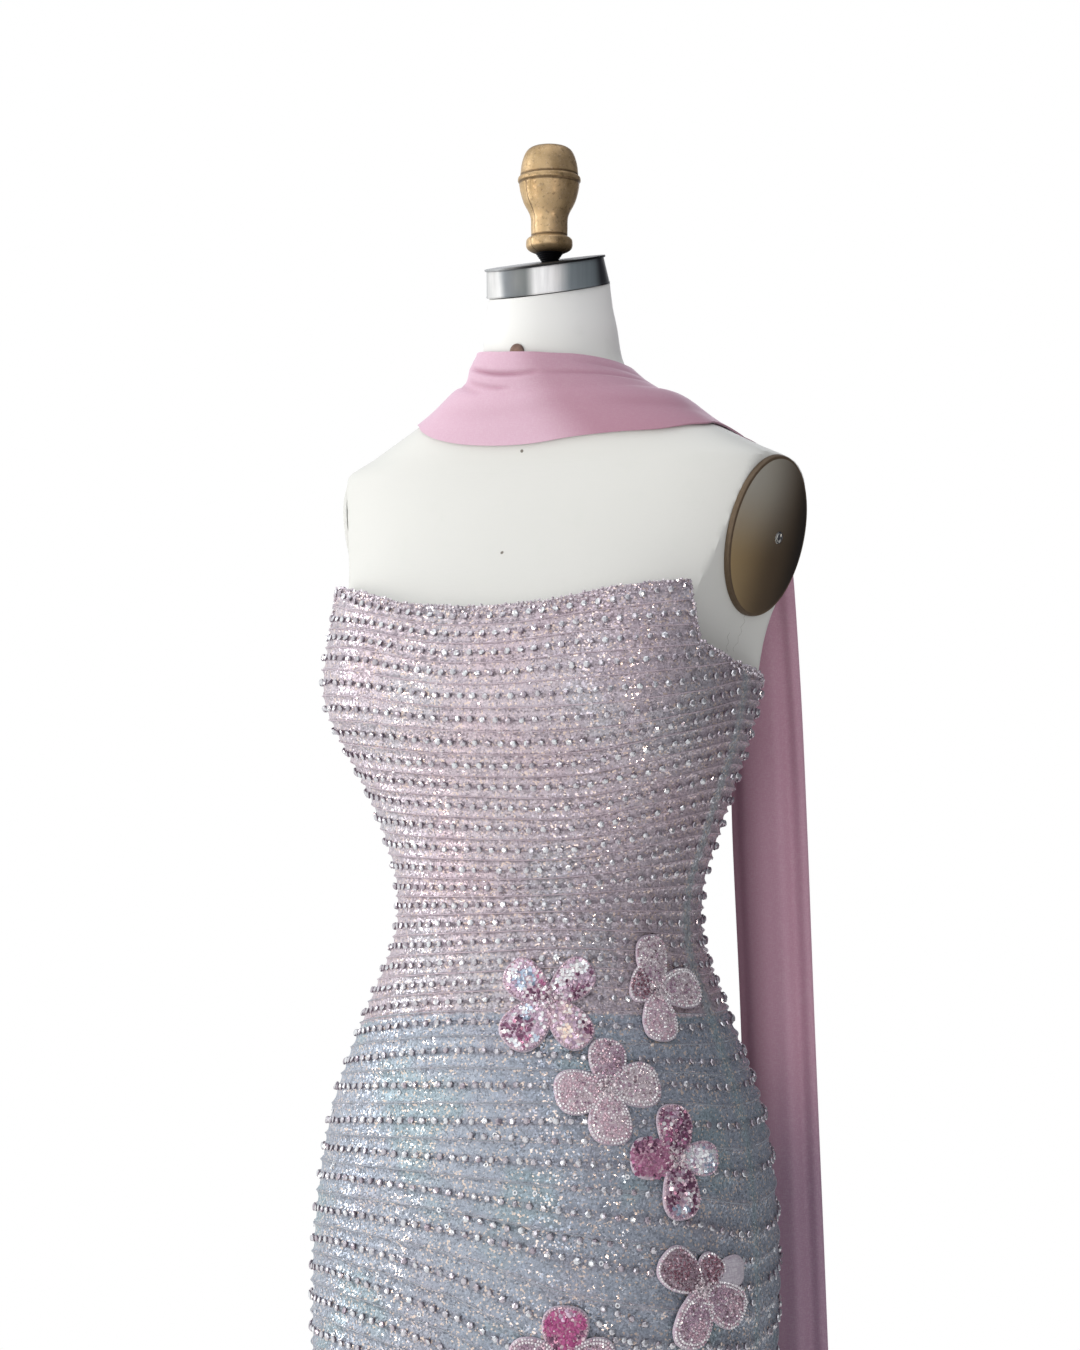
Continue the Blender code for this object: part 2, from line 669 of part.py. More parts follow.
def make_scarf_tail(name, side, material):
    rows = tail_edges(side)
    shares = [k / TAIL_COLUMNS for k in range(TAIL_COLUMNS + 1)]
    outside, inside = [], []
    for index, (near, far, fold) in enumerate(rows):
        across = far - near
        ahead = rows[min(index + 1, len(rows) - 1)]
        before = rows[max(index - 1, 0)]
        down = (ahead[0] + ahead[1]) - (before[0] + before[1])
        out = across.cross(down).normalized() * side
        if out.y < 0:
            out = -out
        if index == 0:
            near = near + down.normalized() * SEAM_GAP
            far = far + down.normalized() * SEAM_GAP
        line = []
        for share in shares:
            wave = math.sin(2 * math.pi * TAIL_FOLDS * share + TAIL_FOLD_START)
            line.append((near.lerp(far, share) + out * (fold * MM * wave), out))
        outside.append([p + o * (SCARF_CLOTH / 2) for p, o in line])
        inside.append([p - o * (SCARF_CLOTH / 2) for p, o in line])
    return wall_object(name, outside, inside, material)


# --- The dress form ----------------------------------------------------------------------------


def form_turns():
    left = [math.radians(c) for c in FORM_COLUMNS]
    return left + [math.pi] + [-turn for turn in reversed(left[1:])]


def neck_ring():
    """The form's ring in the slanted plane of the neck's top."""
    ring = []
    for turn in form_turns():
        point = form_point(turn, NECK_TOP)
        point.z = NECK_TOP + NECK_SLANT * (point.y - NECK_AXIS_Y)
        ring.append(point)
    return ring


def make_torso(material):
    heights = [FORM_BOTTOM] + [h for h in HIP_ROWS + WAIST_ROWS + FORM_UPPER_ROWS + SHOULDER_ROWS]
    rings = [[form_point(turn, height) for turn in form_turns()] for height in heights]
    rings.append(neck_ring())
    return ringed_object("form_torso", rings, material)


def slanted_disc(name, bottom, top, bottom_radius, top_radius, material, sides=36):
    """A disc that is square to the neck's slanted top, from one height above it to another."""
    tilt = Matrix.Rotation(math.atan(NECK_SLANT), 3, "X")
    centre = Vector((0, NECK_AXIS_Y, NECK_TOP))
    rings = []
    for above, radius in ((bottom, bottom_radius), (top, top_radius)):
        middle = centre + tilt @ Vector((0, 0, above))
        rings.append(circle(middle, tilt @ Vector((1, 0, 0)), tilt @ Vector((0, 1, 0)), radius, sides))
    return ringed_object(name, rings, material)


def turned_object(name, profile, x, y, base, material, sides=20):
    rings = [level_circle(x, y, base + row.height * MM, row.radius * MM, sides) for row in profile]
    return ringed_object(name, rings, material)


def make_neck_fittings(steel, black, brass):
    slanted_disc("neck_cap", SEAM_GAP, SEAM_GAP + CAP_HEIGHT, CAP_RADIUS_LOW, CAP_RADIUS_HIGH, steel)
    tilt = Matrix.Rotation(math.atan(NECK_SLANT), 3, "X")
    centre = Vector((0, NECK_AXIS_Y, NECK_TOP)) + tilt @ Vector((0, 0, 2 * SEAM_GAP + CAP_HEIGHT))
    lower = []
    for p in level_circle(0, FINIAL_Y, 0, BOLT_RADIUS, 16):
        lower.append(Vector((p.x, p.y, centre.z + NECK_SLANT * (p.y - centre.y))))
    upper = [Vector((p.x, p.y, FINIAL_BASE - SEAM_GAP)) for p in lower]
    ringed_object("neck_bolt", [lower, upper], black)
    turned_object("finial", FINIAL, 0, FINIAL_Y, FINIAL_BASE, brass)


def make_arm_plate(side, bronze, steel):
    """The oval plate over the arm's opening, with a bevelled rim and its screw."""
    facing = mirrored(PLATE_NORMAL, side)
    back = UP.cross(facing).normalized() * side
    upward = facing.cross(back).normalized()
    upward *= math.copysign(1, upward.z)
    centre = mirrored(PLATE_CENTRE, side) + facing * SEAM_GAP
    rings = []
    for out, inset in ((0, 0), (PLATE_THICKNESS - PLATE_BEVEL, 0), (PLATE_THICKNESS, PLATE_BEVEL)):
        middle = centre + facing * out
        rings.append(circle(middle, back, upward, PLATE_HALF_WIDTH - inset, 36, PLATE_HALF_HEIGHT - inset))
    word = "left" if side > 0 else "right"
    ringed_object(f"arm_plate_{word}", rings, bronze, sharp_angle=30)
    seat = centre + back * SCREW_BACK + facing * (PLATE_THICKNESS + SEAM_GAP)
    head = [
        circle(seat + facing * row.out, back, upward, SCREW_RADIUS - row.inset, 16) for row in SCREW_HEAD
    ]
    ringed_object(f"plate_screw_{word}", head, steel)


def make_neck_stud(material):
    out = normal(form_point, 0.0, STUD_HEIGHT)
    seat = form_point(0.0, STUD_HEIGHT) + out * SEAM_GAP
    across = Vector((1, 0, 0))
    rings = [
        circle(seat + out * row.out, across, out.cross(across), STUD_RADIUS - row.inset, 16)
        for row in STUD_HEAD
    ]
    return ringed_object("neck_stud", rings, material)


def make_stand(iron, steel):
    """Pole, socket and a flat base with four rounded legs, all hidden by the skirt."""
    outline = []
    for leg in range(4):
        along = Matrix.Rotation(math.pi / 4 + leg * math.pi / 2, 3, "Z") @ Vector((1, 0, 0))
        across = Vector((-along.y, along.x, 0))
        for k in range(7):
            angle = -math.pi / 2 + math.pi * k / 6
            tip = BASE_REACH - BASE_LEG_HALF_WIDTH + BASE_LEG_HALF_WIDTH * math.cos(angle)
            outline.append(along * tip + across * (BASE_LEG_HALF_WIDTH * math.sin(angle)))
        inner = Matrix.Rotation(math.pi / 4, 3, "Z") @ along
        outline.append(inner * BASE_HUB)
    ringed_object("stand_base", [outline, [p + UP * BASE_THICKNESS for p in outline]], iron)
    foot = BASE_THICKNESS + SEAM_GAP
    pole = [level_circle(0, 0, z, POLE_RADIUS, 24) for z in (foot, FORM_BOTTOM - SEAM_GAP)]
    ringed_object("stand_pole", pole, steel)
    bore = POLE_RADIUS + SEAM_GAP
    profile = (
        (bore, foot),
        (SOCKET_RADIUS + SOCKET_FOOT, foot),
        (SOCKET_RADIUS, foot + SOCKET_FOOT_HEIGHT),
        (SOCKET_RADIUS - SOCKET_TAPER, foot + SOCKET_HEIGHT),
        (bore, foot + SOCKET_HEIGHT),
    )
    sides = 24
    rings = [level_circle(0, 0, z, radius, sides) for radius, z in profile]
    points = [p for ring in rings for p in ring]
    faces = []
    for ring in range(len(rings)):
        a, b = ring * sides, (ring + 1) % len(rings) * sides
        for k in range(sides):
            faces.append((a + k, a + (k + 1) % sides, b + (k + 1) % sides, b + k))
    add_object("stand_socket", points, faces, iron)


def main():
    for old in list(bpy.data.objects):
        bpy.data.objects.remove(old)
    beaded = new_material("beaded_tulle", (0.52, 0.47, 0.52), 0.45)
    sequin = new_material("flower_sequins", (0.68, 0.24, 0.42), 0.35)
    chiffon = new_material("chiffon", (0.60, 0.30, 0.38), 0.80)
    linen = new_material("form_cover", (0.80, 0.80, 0.76), 0.70)
    steel = new_material("brushed_steel", (0.55, 0.56, 0.57), 0.30, 1.0)
    black = new_material("black_steel", (0.03, 0.03, 0.03), 0.45, 1.0)
    brass = new_material("aged_brass", (0.36, 0.24, 0.10), 0.40, 1.0)
    bronze = new_material("bronze", (0.16, 0.11, 0.07), 0.38, 1.0)
    iron = new_material("cast_iron", (0.03, 0.03, 0.03), 0.60)

    make_gown(beaded)
    for number, flower in enumerate(FLOWERS, start=1):
        make_flower(number, flower, sequin)
    make_slider(steel)
    make_pull(steel)
    make_scarf_front(chiffon)
    make_scarf_tail("scarf_tail_left", 1, chiffon)
    make_scarf_tail("scarf_tail_right", -1, chiffon)
    make_torso(linen)
    make_neck_fittings(steel, black, brass)
    make_arm_plate(1, bronze, steel)
    make_arm_plate(-1, bronze, steel)
    make_neck_stud(bronze)
    make_stand(iron, steel)


main()
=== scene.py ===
"""Looks of the beaded evening gown on its dress form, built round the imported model.

Metres, +Z up. The gown faces -Y and its left side is +X. As in the part's source, a place on the
gown or on the form is given by its turn, the angle from the centre front towards the left side,
and by its height. The gown's and the form's tables are the ones that the solids are made from.
A comment over each table names its columns; the turns in tables are in degrees.
"""

import math
from collections import namedtuple

import bmesh
import bpy
import numpy as np
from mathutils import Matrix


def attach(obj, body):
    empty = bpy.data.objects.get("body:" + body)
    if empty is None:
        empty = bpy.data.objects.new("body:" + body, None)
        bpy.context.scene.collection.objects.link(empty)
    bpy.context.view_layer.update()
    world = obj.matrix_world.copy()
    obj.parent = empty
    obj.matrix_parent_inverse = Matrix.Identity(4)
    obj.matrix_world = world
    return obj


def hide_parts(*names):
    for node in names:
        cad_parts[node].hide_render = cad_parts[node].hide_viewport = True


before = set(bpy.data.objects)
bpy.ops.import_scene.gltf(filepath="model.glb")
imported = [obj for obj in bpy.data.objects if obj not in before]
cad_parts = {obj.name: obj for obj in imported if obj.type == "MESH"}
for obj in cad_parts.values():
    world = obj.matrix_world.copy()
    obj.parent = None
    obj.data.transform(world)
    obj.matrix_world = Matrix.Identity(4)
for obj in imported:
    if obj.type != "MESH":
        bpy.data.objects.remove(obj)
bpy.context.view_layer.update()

MM = 0.001
BODY = "gown_and_form"
rng = np.random.default_rng(7)

# --- Camera: first, as it was fitted to the photograph's outline ---------------------------------

CAMERA_TURN = math.radians(30.0)   # round the pole, from straight ahead towards the gown's left
CAMERA_DISTANCE = 1.5
CAMERA_HEIGHT = 1.25
CAMERA_ASIDE = 0.0079
LENS = 56.0                        # mm, on a sensor whose long side is 36 mm


def make_camera():
    data = bpy.data.cameras.new("camera")
    data.lens, data.sensor_width, data.sensor_fit = LENS, 36.0, "AUTO"
    camera = bpy.data.objects.new("camera", data)
    sine, cosine = math.sin(CAMERA_TURN), math.cos(CAMERA_TURN)
    camera.location = (
        CAMERA_DISTANCE * sine - CAMERA_ASIDE * cosine,
        -CAMERA_DISTANCE * cosine - CAMERA_ASIDE * sine,
        CAMERA_HEIGHT,
    )
    camera.rotation_euler = (math.radians(90), 0, CAMERA_TURN)
    bpy.context.scene.collection.objects.link(camera)
    bpy.context.scene.camera = camera


make_camera()

# --- Sizes and tables ----------------------------------------------------------------------------

CLOTH = 2.0 * MM
SCARF_CLOTH = 1.2 * MM
EASE = 0.8 * MM
SEAM_GAP = 0.3 * MM
SIDE_SEAM = 85.5
HEM = 0.012
FORM_BOTTOM = 0.742
FORM_PARTS_FROM_GOWN = 1.218
FORM_OWN_SHAPE = 1.290
NECK_TOP = 1.5235
NECK_SLANT = math.tan(math.radians(14.2))
NECK_AXIS_Y = -0.004
NECK_TAPER, NECK_TAPER_FROM, NECK_TAPER_SPAN = 0.055, 1.478, 0.048
PIN_HOLES = (1.4062, 1.334)    # at the centre front
PLATE_CENTRE = np.array((0.160, 0.013, 1.345))
PLATE_NORMAL = np.array((0.961, -0.170, -0.218)) / np.linalg.norm((0.961, -0.170, -0.218))

# Height, half width, reach ahead and back, and how square the front and the back are.
GOWN_SECTIONS = (
    (0.008, 0.215, 0.205, 0.205, 2.0, 2.0),
    (0.160, 0.180, 0.170, 0.164, 2.0, 2.0),
    (0.400, 0.157, 0.146, 0.126, 2.1, 2.1),
    (0.620, 0.161, 0.150, 0.112, 2.2, 2.1),
    (0.770, 0.167, 0.154, 0.105, 2.3, 2.1),
    (0.860, 0.168, 0.148, 0.112, 2.3, 2.1),
    (0.940, 0.159, 0.1365, 0.109, 2.2, 2.1),
    (1.010, 0.1345, 0.1205, 0.0895, 2.1, 2.1),
    (1.060, 0.115, 0.102, 0.086, 2.1, 2.0),
    (1.100, 0.1135, 0.0975, 0.0855, 2.1, 2.0),
    (1.140, 0.126, 0.102, 0.088, 2.1, 2.0),
    (1.190, 0.142, 0.110, 0.1035, 2.2, 2.0),
    (1.240, 0.153, 0.115, 0.107, 2.3, 2.2),
    (1.290, 0.158, 0.104, 0.105, 2.4, 2.4),
    (1.330, 0.164, 0.096, 0.105, 2.4, 2.4),
)
FORM_SECTIONS = (
    (1.235, 0.1475, 0.106, 0.1015, 2.2, 2.1),
    (1.290, 0.155, 0.088, 0.101, 2.3, 2.9),
    (1.335, 0.170, 0.066, 0.104, 2.3, 4.0),
    (1.375, 0.176, 0.050, 0.102, 2.3, 4.0),
    (1.398, 0.172, 0.042, 0.094, 2.3, 3.6),
    (1.409, 0.151, 0.041, 0.089, 2.2, 3.0),
    (1.420, 0.130, 0.041, 0.081, 2.2, 2.5),
    (1.434, 0.104, 0.042, 0.069, 2.1, 2.2),
    (1.450, 0.076, 0.044, 0.060, 2.1, 2.1),
    (1.470, 0.0525, 0.047, 0.056, 2.0, 2.0),
    (1.500, 0.0478, 0.048, 0.048, 2.0, 2.0),
    (1.560, 0.0425, 0.049, 0.031, 2.0, 2.0),
)

BUST_TURN = math.radians(41.0)
BUST_HEIGHT = 1.232
BUST_RISE = 19.0 * MM
BUST_SPREAD_TURN = math.radians(27.0)
BUST_SPREAD_ABOVE = 0.050
BUST_SPREAD_BELOW = 0.034
FLUTES = 8
FLUTE_DEPTH = 9.0 * MM
FLUTE_TOP = 0.52

# Turn either way, and height.
NECKLINE = ((0, 1.296), (16, 1.299), (32, 1.308), (48, 1.312), (56, 1.313), (61, 1.273), (77, 1.260),
            (103, 1.248), (139, 1.240), (180, 1.238))

# The scarf's front stretch: turn, heights of its lower and upper edge, then in millimetres its gap
# to the form at the lower edge, in the crease and in the roll above it, and its fullness below.
SCARF_FRONT = (
    (-116, 1.426, 1.474, 1.4, 1.4, 1.6, 0.9),
    (-90, 1.432, 1.479, 1.0, 0.5, 3.8, 2.2),
    (-60, 1.430, 1.4785, 1.0, 0.4, 4.6, 2.2),
    (-45, 1.4245, 1.478, 1.2, 0.5, 4.8, 2.0),
    (-30, 1.418, 1.477, 1.4, 0.9, 4.5, 1.6),
    (-15, 1.4125, 1.4755, 1.5, 1.9, 3.9, 1.0),
    (0, 1.4105, 1.4745, 1.6, 2.4, 3.6, 1.0),
    (15, 1.414, 1.4735, 1.6, 2.4, 3.2, 1.0),
    (30, 1.4156, 1.472, 1.6, 2.4, 2.8, 1.1),
    (45, 1.416, 1.471, 1.6, 2.6, 2.6, 1.6),
    (62, 1.4185, 1.469, 1.5, 2.6, 2.2, 2.2),
    (76, 1.4195, 1.467, 1.4, 2.6, 2.2, 2.8),
    (92, 1.4215, 1.465, 1.2, 2.6, 2.0, 3.6),
    (104, 1.420, 1.464, 1.2, 2.6, 2.0, 3.8),
    (116, 1.415, 1.462, 1.3, 2.4, 2.0, 3.6),
)
SCARF_END = 116
SCARF_CREASE = 0.56            # share of the height
SCARF_ROLL_SHARE = 0.45        # the roll is full this far up from the crease
SCARF_ROLL_BACK = 0.35         # its top edge turns in by this share
SCARF_SWAG = 2.0               # the lower drape is fullest high up
SCARF_SHADE = 0.56              # how much painted shade it has past the centre front
SCARF_END_TONE = 0.37          # at its ends it has the tails' colour

# Soft troughs pressed into it: share of the height, the turns it runs between, depth in
# millimetres, breadth and slope as shares.
SCARF_CREASES = (
    (0.765, -50, 16, 3.4, 0.026, 0.008),
    (0.545, -112, -20, 2.4, 0.030, 0.0),
    (0.62, -48, -2, 2.2, 0.022, 0.0),
    (0.735, 8, 96, 1.1, 0.026, -0.035),
    (0.34, -50, 30, 0.5, 0.080, 0.10),
    (0.26, 34, 104, 0.7, 0.070, -0.12),
    (0.86, 40, 112, 0.8, 0.040, -0.04),
)

# The tail's near and far edge (x, y, z) and the depth of its folds, in millimetres.
TAIL_ROWS = (
    (70, 100, 1390, 133, 108, 1372, 1.5),
    (78, 106, 1345, 134, 120, 1335, 3.0),
    (84, 110, 1290, 135, 128, 1285, 4.5),
    (88, 112, 1220, 136, 136, 1218, 6.0),
    (90, 113, 1130, 138, 141, 1130, 6.5),
    (95, 116, 1000, 142, 144, 1000, 6.5),
    (99, 120, 840, 148, 147, 840, 6.5),
    (103, 126, 670, 154, 151, 670, 6.0),
    (107, 136, 500, 160, 161, 500, 5.0),
)
TAIL_START = 18                # rows from the shoulder down to the table's first
TAIL_FOLDS = 3
TAIL_FOLD_START = 0.6
TAIL_SOFTNESS = 0.42           # fine cloth hangs smoother than its solid
TAIL_LIFT = np.array((0, 9, 11)) * MM

# A flower has a turn and a height, and its heart lies some millimetres to the right of there and
# above. A petal points some way (0 is to the right, 90 is up), and has its length and half width
# in millimetres, what fills it, and how many outlines of beads.
Flower = namedtuple("Flower", "turn height right above petals")
Petal = namedtuple("Petal", "towards length half_width fill outlines")

FLOWERS = [Flower(*row[:4], [Petal(*petal) for petal in row[4:]]) for row in (
    (25, 1.036, 2.5, -1.5, (144, 37, 13, "frost", 1), (40, 37, 13, "blaze", 1),
     (-134, 38, 14, "night", 1), (-50, 35, 12.5, "ember", 1)),
    (63, 1.040, -0.5, -1, (153, 19, 12.5, "plum_seeds", 1), (-1, 39, 13, "beige", 2),
     (-98, 32, 12, "rose", 2), (88, 37, 12.5, "beige", 1)),
    (41, 0.981, 0, 0, (81, 31, 13, "mauve", 1), (-174, 34, 14, "rose", 2),
     (3, 36, 14, "beige", 2), (-94, 35, 13.5, "rose", 2)),
    (59, 0.938, -3.5, -2.5, (83, 34, 13, "plum", 1), (174, 31, 13, "matte", 0),
     (-5, 32, 11, "silver", 1), (-87, 38, 13, "dusk", 1)),
    (61, 0.853, 5, 1, (8, 40, 12, "bare", 0), (49, 23, 12, "brown", 1), (140, 36, 13.5, "brown", 1),
     (-34, 45, 14, "mauve", 2), (-103, 39, 14.5, "mauve", 2)),
    (29, 0.820, -3, -6, (88, 34, 15, "hot_pink", 1), (182, 34, 14, "mauve", 2),
     (2, 34, 14, "mauve", 2), (-88, 34, 15, "hot_pink", 1)),
)]
SEQUIN_FLOWERS = (1, 4, 6)
EGG = 0.82                     # the petals' egg shape's own half width

# A fill has the tone of the cloth under it, what covers it, some strewn about, and spots of
# others, each with how far along and across the petal it lies, as shares, and its reach in mm.
Fill = namedtuple("Fill", "tone cover strewn spots")

FILLS = {
    "frost": Fill("CBB0C2", "mauve_chip", ("white_chip", "white_seed"), (
        ("silver_chip", 0.86, 0.1, 4), ("blue_chip", 0.58, 0.0, 7), ("plum_chip", 0.2, 0.2, 8),
        ("magenta_chip", 0.35, -0.7, 5))),
    "blaze": Fill("BCA6B8", "mauve_chip", ("plum_chip", "white_seed"), (
        ("silver_chip", 0.25, 0.5, 4.5), ("white_chip", 0.48, 0.4, 5), ("white_chip", 0.72, 0.3, 5),
        ("silver_chip", 0.9, 0.2, 4), ("plum_chip", 0.5, -0.7, 6))),
    "night": Fill("C0A8BC", "mauve_chip", ("silver_chip", "white_chip"), (
        ("plum_chip", 0.6, 0.0, 7), ("plum_chip", 0.88, -0.45, 5), ("blue_chip", 0.42, -0.3, 5),
        ("silver_chip", 0.93, 0.3, 5), ("blue_chip", 0.57, 0.9, 5), ("magenta_chip", 0.72, 0.5, 4))),
    "ember": Fill("C6ADB8", "mauve_chip", ("white_chip", "rose_seed"), (
        ("glint_chip", 0.3, 0.4, 4.5), ("glint_chip", 0.58, -0.4, 4.5), ("silver_chip", 0.57, 0.9, 5),
        ("plum_chip", 0.8, 0.8, 6))),
    "plum": Fill("94708A", "plum_chip", ("magenta_chip", "rose_seed", "white_seed"), (
        ("mauve_chip", 0.86, 0.1, 4.5), ("magenta_chip", 0.4, 0.5, 5))),
    "matte": Fill("A86A8C", "rose_chip", ("rose_seed", "plum_chip"), (
        ("plum_chip", 0.73, -0.5, 5), ("magenta_chip", 0.9, 0.5, 4))),
    "silver": Fill("C4BACA", "silver_chip", ("blue_chip", "mauve_chip"), (
        ("white_chip", 0.5, 0.2, 6), ("blue_chip", 0.75, -0.5, 5))),
    "dusk": Fill("9C8096", "plum_chip", ("rose_seed", "mauve_chip", "white_seed"), (
        ("silver_chip", 0.68, 0.2, 5), ("blue_chip", 0.86, -0.1, 6))),
    "hot_pink": Fill("BC7098", "pink_chip", ("rose_seed", "pink_chip"), (
        ("plum_chip", 0.3, 0.5, 5), ("mauve_chip", 0.97, 0.0, 7), ("plum_chip", 0.45, -0.7, 4))),
    "beige": Fill("B4A6B0", "beige_seed", ("mauve_seed", "brown_seed", "white_seed"), (
        ("mauve_seed", 0.2, 0.3, 7),)),
    "rose": Fill("B8A2B0", "rose_seed", ("beige_seed", "mauve_seed", "white_seed"), (
        ("beige_seed", 0.5, 0.4, 7),)),
    "mauve": Fill("9F889A", "mauve_seed", ("rose_seed", "brown_seed", "white_seed"), (
        ("rose_seed", 0.7, 0.3, 8),)),
    "brown": Fill("8A7284", "brown_seed", ("maroon_seed", "rose_seed"), (("maroon_seed", 0.6, 0, 8),)),
    "plum_seeds": Fill("938090", "maroon_seed", ("beige_seed", "rose_seed"), ()),
    "bare": Fill("A8A0AE", "", (), ()),
}

# The beads and sequins: dark and light tone, how metallic and how rough.
CHIPS = {
    "white_seed": ("EAE3E9", "FFFFFF", 0.35, 0.18),
    "beige_seed": ("ADA0A7", "EEE2E7", 0.35, 0.18),
    "rose_seed": ("BF9FAE", "F0D6E0", 0.35, 0.18),
    "mauve_seed": ("937A8D", "C8ABBF", 0.35, 0.18),
    "brown_seed": ("725C67", "B29AA5", 0.35, 0.18),
    "maroon_seed": ("714C5A", "A37A88", 0.35, 0.18),
    "silver_chip": ("E2E8F0", "FFFFFF", 0.5, 0.2),
    "white_chip": ("EDF1F6", "FFFFFF", 0.1, 0.25),
    "blue_chip": ("A3B6D0", "DCE8F6", 0.5, 0.2),
    "plum_chip": ("6B4660", "9C6E8A", 0.5, 0.2),
    "magenta_chip": ("A05E84", "CC88AC", 0.5, 0.2),
    "mauve_chip": ("B89CB4", "ECD4E6", 0.5, 0.2),
    "pink_chip": ("A0447C", "C86C9E", 0.2, 0.4),
    "rose_chip": ("8E5274", "B07C9A", 0.1, 0.5),
    # Warm near-white chips are painted glints, bright under any light.
    "glint_chip": ("FFE2CC", "FFFFFF", 0.1, 0.25),
}
SLOT_OF = {name: slot for slot, name in enumerate(CHIPS)}

# A row of beads runs round the gown at each whole number, and a corded line halfway between two.
# A row's number, and its heights in millimetres at the first eight of these turns.
ROW_TURNS = (-180, -88, -60, -30, 0, 30, 60, 88, 180)
ROW_LINES = (
    (-2, 1318, 1328, 1340, 1325, 1315, 1324, 1338, 1326),
    (0, 1290, 1300, 1311, 1299, 1289, 1298, 1309, 1300),
    (1, 1272, 1284, 1290, 1287, 1277, 1286, 1290, 1286),
    (3, 1245, 1262, 1262, 1261, 1251, 1257, 1263, 1265),
    (5, 1217, 1229, 1226, 1227, 1221, 1223, 1232, 1240),
    (7, 1188, 1197, 1196, 1193, 1190, 1193, 1207, 1213),
    (9, 1159, 1167, 1166, 1163, 1162, 1163, 1175, 1182),
    (12, 1116, 1112, 1114, 1117, 1119, 1122, 1130, 1134),
    (15, 1077, 1064, 1070, 1077, 1083, 1087, 1085, 1080),
    (18, 1036, 1018, 1024, 1035, 1044, 1050, 1046, 1038),
    (19, 1023, 1000, 1008, 1022, 1032, 1037, 1034, 1026),
    (20, 1009, 985, 993, 1008, 1019, 1021, 1017, 1012),
    (21, 993, 964, 973, 988, 1001, 1001, 996, 989),
    (22, 973, 946, 955, 968, 979, 983, 981, 972),
    (23, 951, 922, 931, 945, 956, 961, 957, 947),
    (24, 929, 903, 913, 925, 933, 935, 929, 917),
    (25, 906, 882, 893, 906, 911, 905, 895, 877),
    (26, 882, 859, 870, 883, 887, 876, 861, 843),
    (27, 858, 836, 848, 863, 860, 832, 818, 806),
    (28, 834, 816, 829, 842, 836, 802, 785, 772),
    (30, 786, 775, 787, 798, 792, 753, 734, 720),
    (34, 686, 690, 698, 708, 702, 668, 652, 641),
    (46, 420, 425, 430, 434, 430, 410, 402, 398),
    (55, 228, 230, 232, 234, 232, 222, 218, 216),
    (64, 12, 12, 12, 12, 12, 12, 12, 12),
)
LAST_ROW = 64
SKIRT_COLOUR_FROM = 19.6       # the tulle changes from mauve to blue-grey at this row

# Short rows of beads that fan out over the left hip: the turns where each starts and ends, and
# the heights of its start, middle and end in millimetres.
SHORT_ROWS = ((5, 37, 949, 949, 949), (30, 53, 920, 918, 914), (5, 84, 896, 884, 860),
              (8, 30, 873, 863, 846), (10, 27, 861, 852, 836), (30, 52, 862, 852, 845),
              (37, 50, 846, 840, 832), (33, 48, 842, 829, 816), (66, 84, 848, 842, 832))

BEAD_PITCH = 9.6 * MM
BEAD_RADIUS = 2.55 * MM
BEAD_LIFT = 0.1 * MM           # beads lie this far over the cloth
SEED_PITCH = 8.5 * MM
SEED_RADIUS = 1.15 * MM
RIDGE_PEAK = 0.9 * MM
RIDGE_VALLEY = 1.1 * MM
CORD_RADIUS = 0.42 * MM
UNDER_EDGE = 2.5 * MM          # sewn lines end this far below the neckline

# --- Curves through tables, and the surfaces -----------------------------------------------------

TURN_STEP = 0.01               # radians, for slopes of the surfaces
HEIGHT_STEP = 0.5 * MM


def hermite(stops, pick, where):
    """One smooth curve through a table's rows: the same as in the part's source, for arrays."""
    stops = np.asarray(stops, float)
    where = np.clip(where, stops[0], stops[-1])
    upper = np.clip(np.searchsorted(stops, where), 1, len(stops) - 1)
    before, after = np.maximum(upper - 2, 0), np.minimum(upper + 1, len(stops) - 1)
    span = stops[upper] - stops[upper - 1]
    share = (where - stops[upper - 1]) / span
    v0, v1, v2, v3 = pick(before), pick(upper - 1), pick(upper), pick(after)
    leaving, arriving = span / (stops[upper] - stops[before]), span / (stops[after] - stops[upper - 1])
    if v1.ndim > share.ndim:
        share, leaving, arriving = share[..., None], leaving[..., None], arriving[..., None]
    return (
        v1 * (1 + 2 * share) * (1 - share) ** 2
        + leaving * (v2 - v0) * share * (1 - share) ** 2
        + v2 * share * share * (3 - 2 * share)
        + arriving * (v3 - v1) * share * share * (share - 1)
    )


def table_at(table, where):
    """The table's other columns at these values of its first one."""
    numbers = np.array(table, float)
    return hermite(numbers[:, 0], lambda k: numbers[k, 1:], np.asarray(where, float))


def ease(value):
    value = np.clip(value, 0.0, 1.0)
    return value * value * (3 - 2 * value)


def bell(value):
    return np.exp(-(value**2))


def rounded(value, square):
    return np.sign(value) * np.abs(value) ** (2 / square)


def stack(x, y, z):
    return np.stack(np.broadcast_arrays(x, y, z), axis=-1)


def unit(vectors):
    return vectors / np.linalg.norm(vectors, axis=-1, keepdims=True)


def paired(turn, height):
    return np.broadcast_arrays(np.asarray(turn, float), np.asarray(height, float))


def circle(sides):
    return 2 * np.pi * np.arange(sides) / sides


def section_points(table, turn, height):
    row = table_at(table, height)
    across, ahead = np.sin(turn), np.cos(turn)
    reach, square = (np.where(ahead > 0, row[..., k], row[..., k + 1]) for k in (1, 3))
    spread = np.where(height > BUST_HEIGHT, BUST_SPREAD_ABOVE, BUST_SPREAD_BELOW) * math.sqrt(2)
    around = sum(
        bell(((turn - side * BUST_TURN + np.pi) % (2 * np.pi) - np.pi) / BUST_SPREAD_TURN / math.sqrt(2))
        for side in (-1, 1)
    )
    rise = BUST_RISE * bell((height - BUST_HEIGHT) / spread) * around
    x = row[..., 0] * rounded(across, square) + across * rise
    return stack(x, -reach * rounded(ahead, square) - ahead * rise, height)


def plain_gown(turn, height):
    return section_points(GOWN_SECTIONS, turn, height)


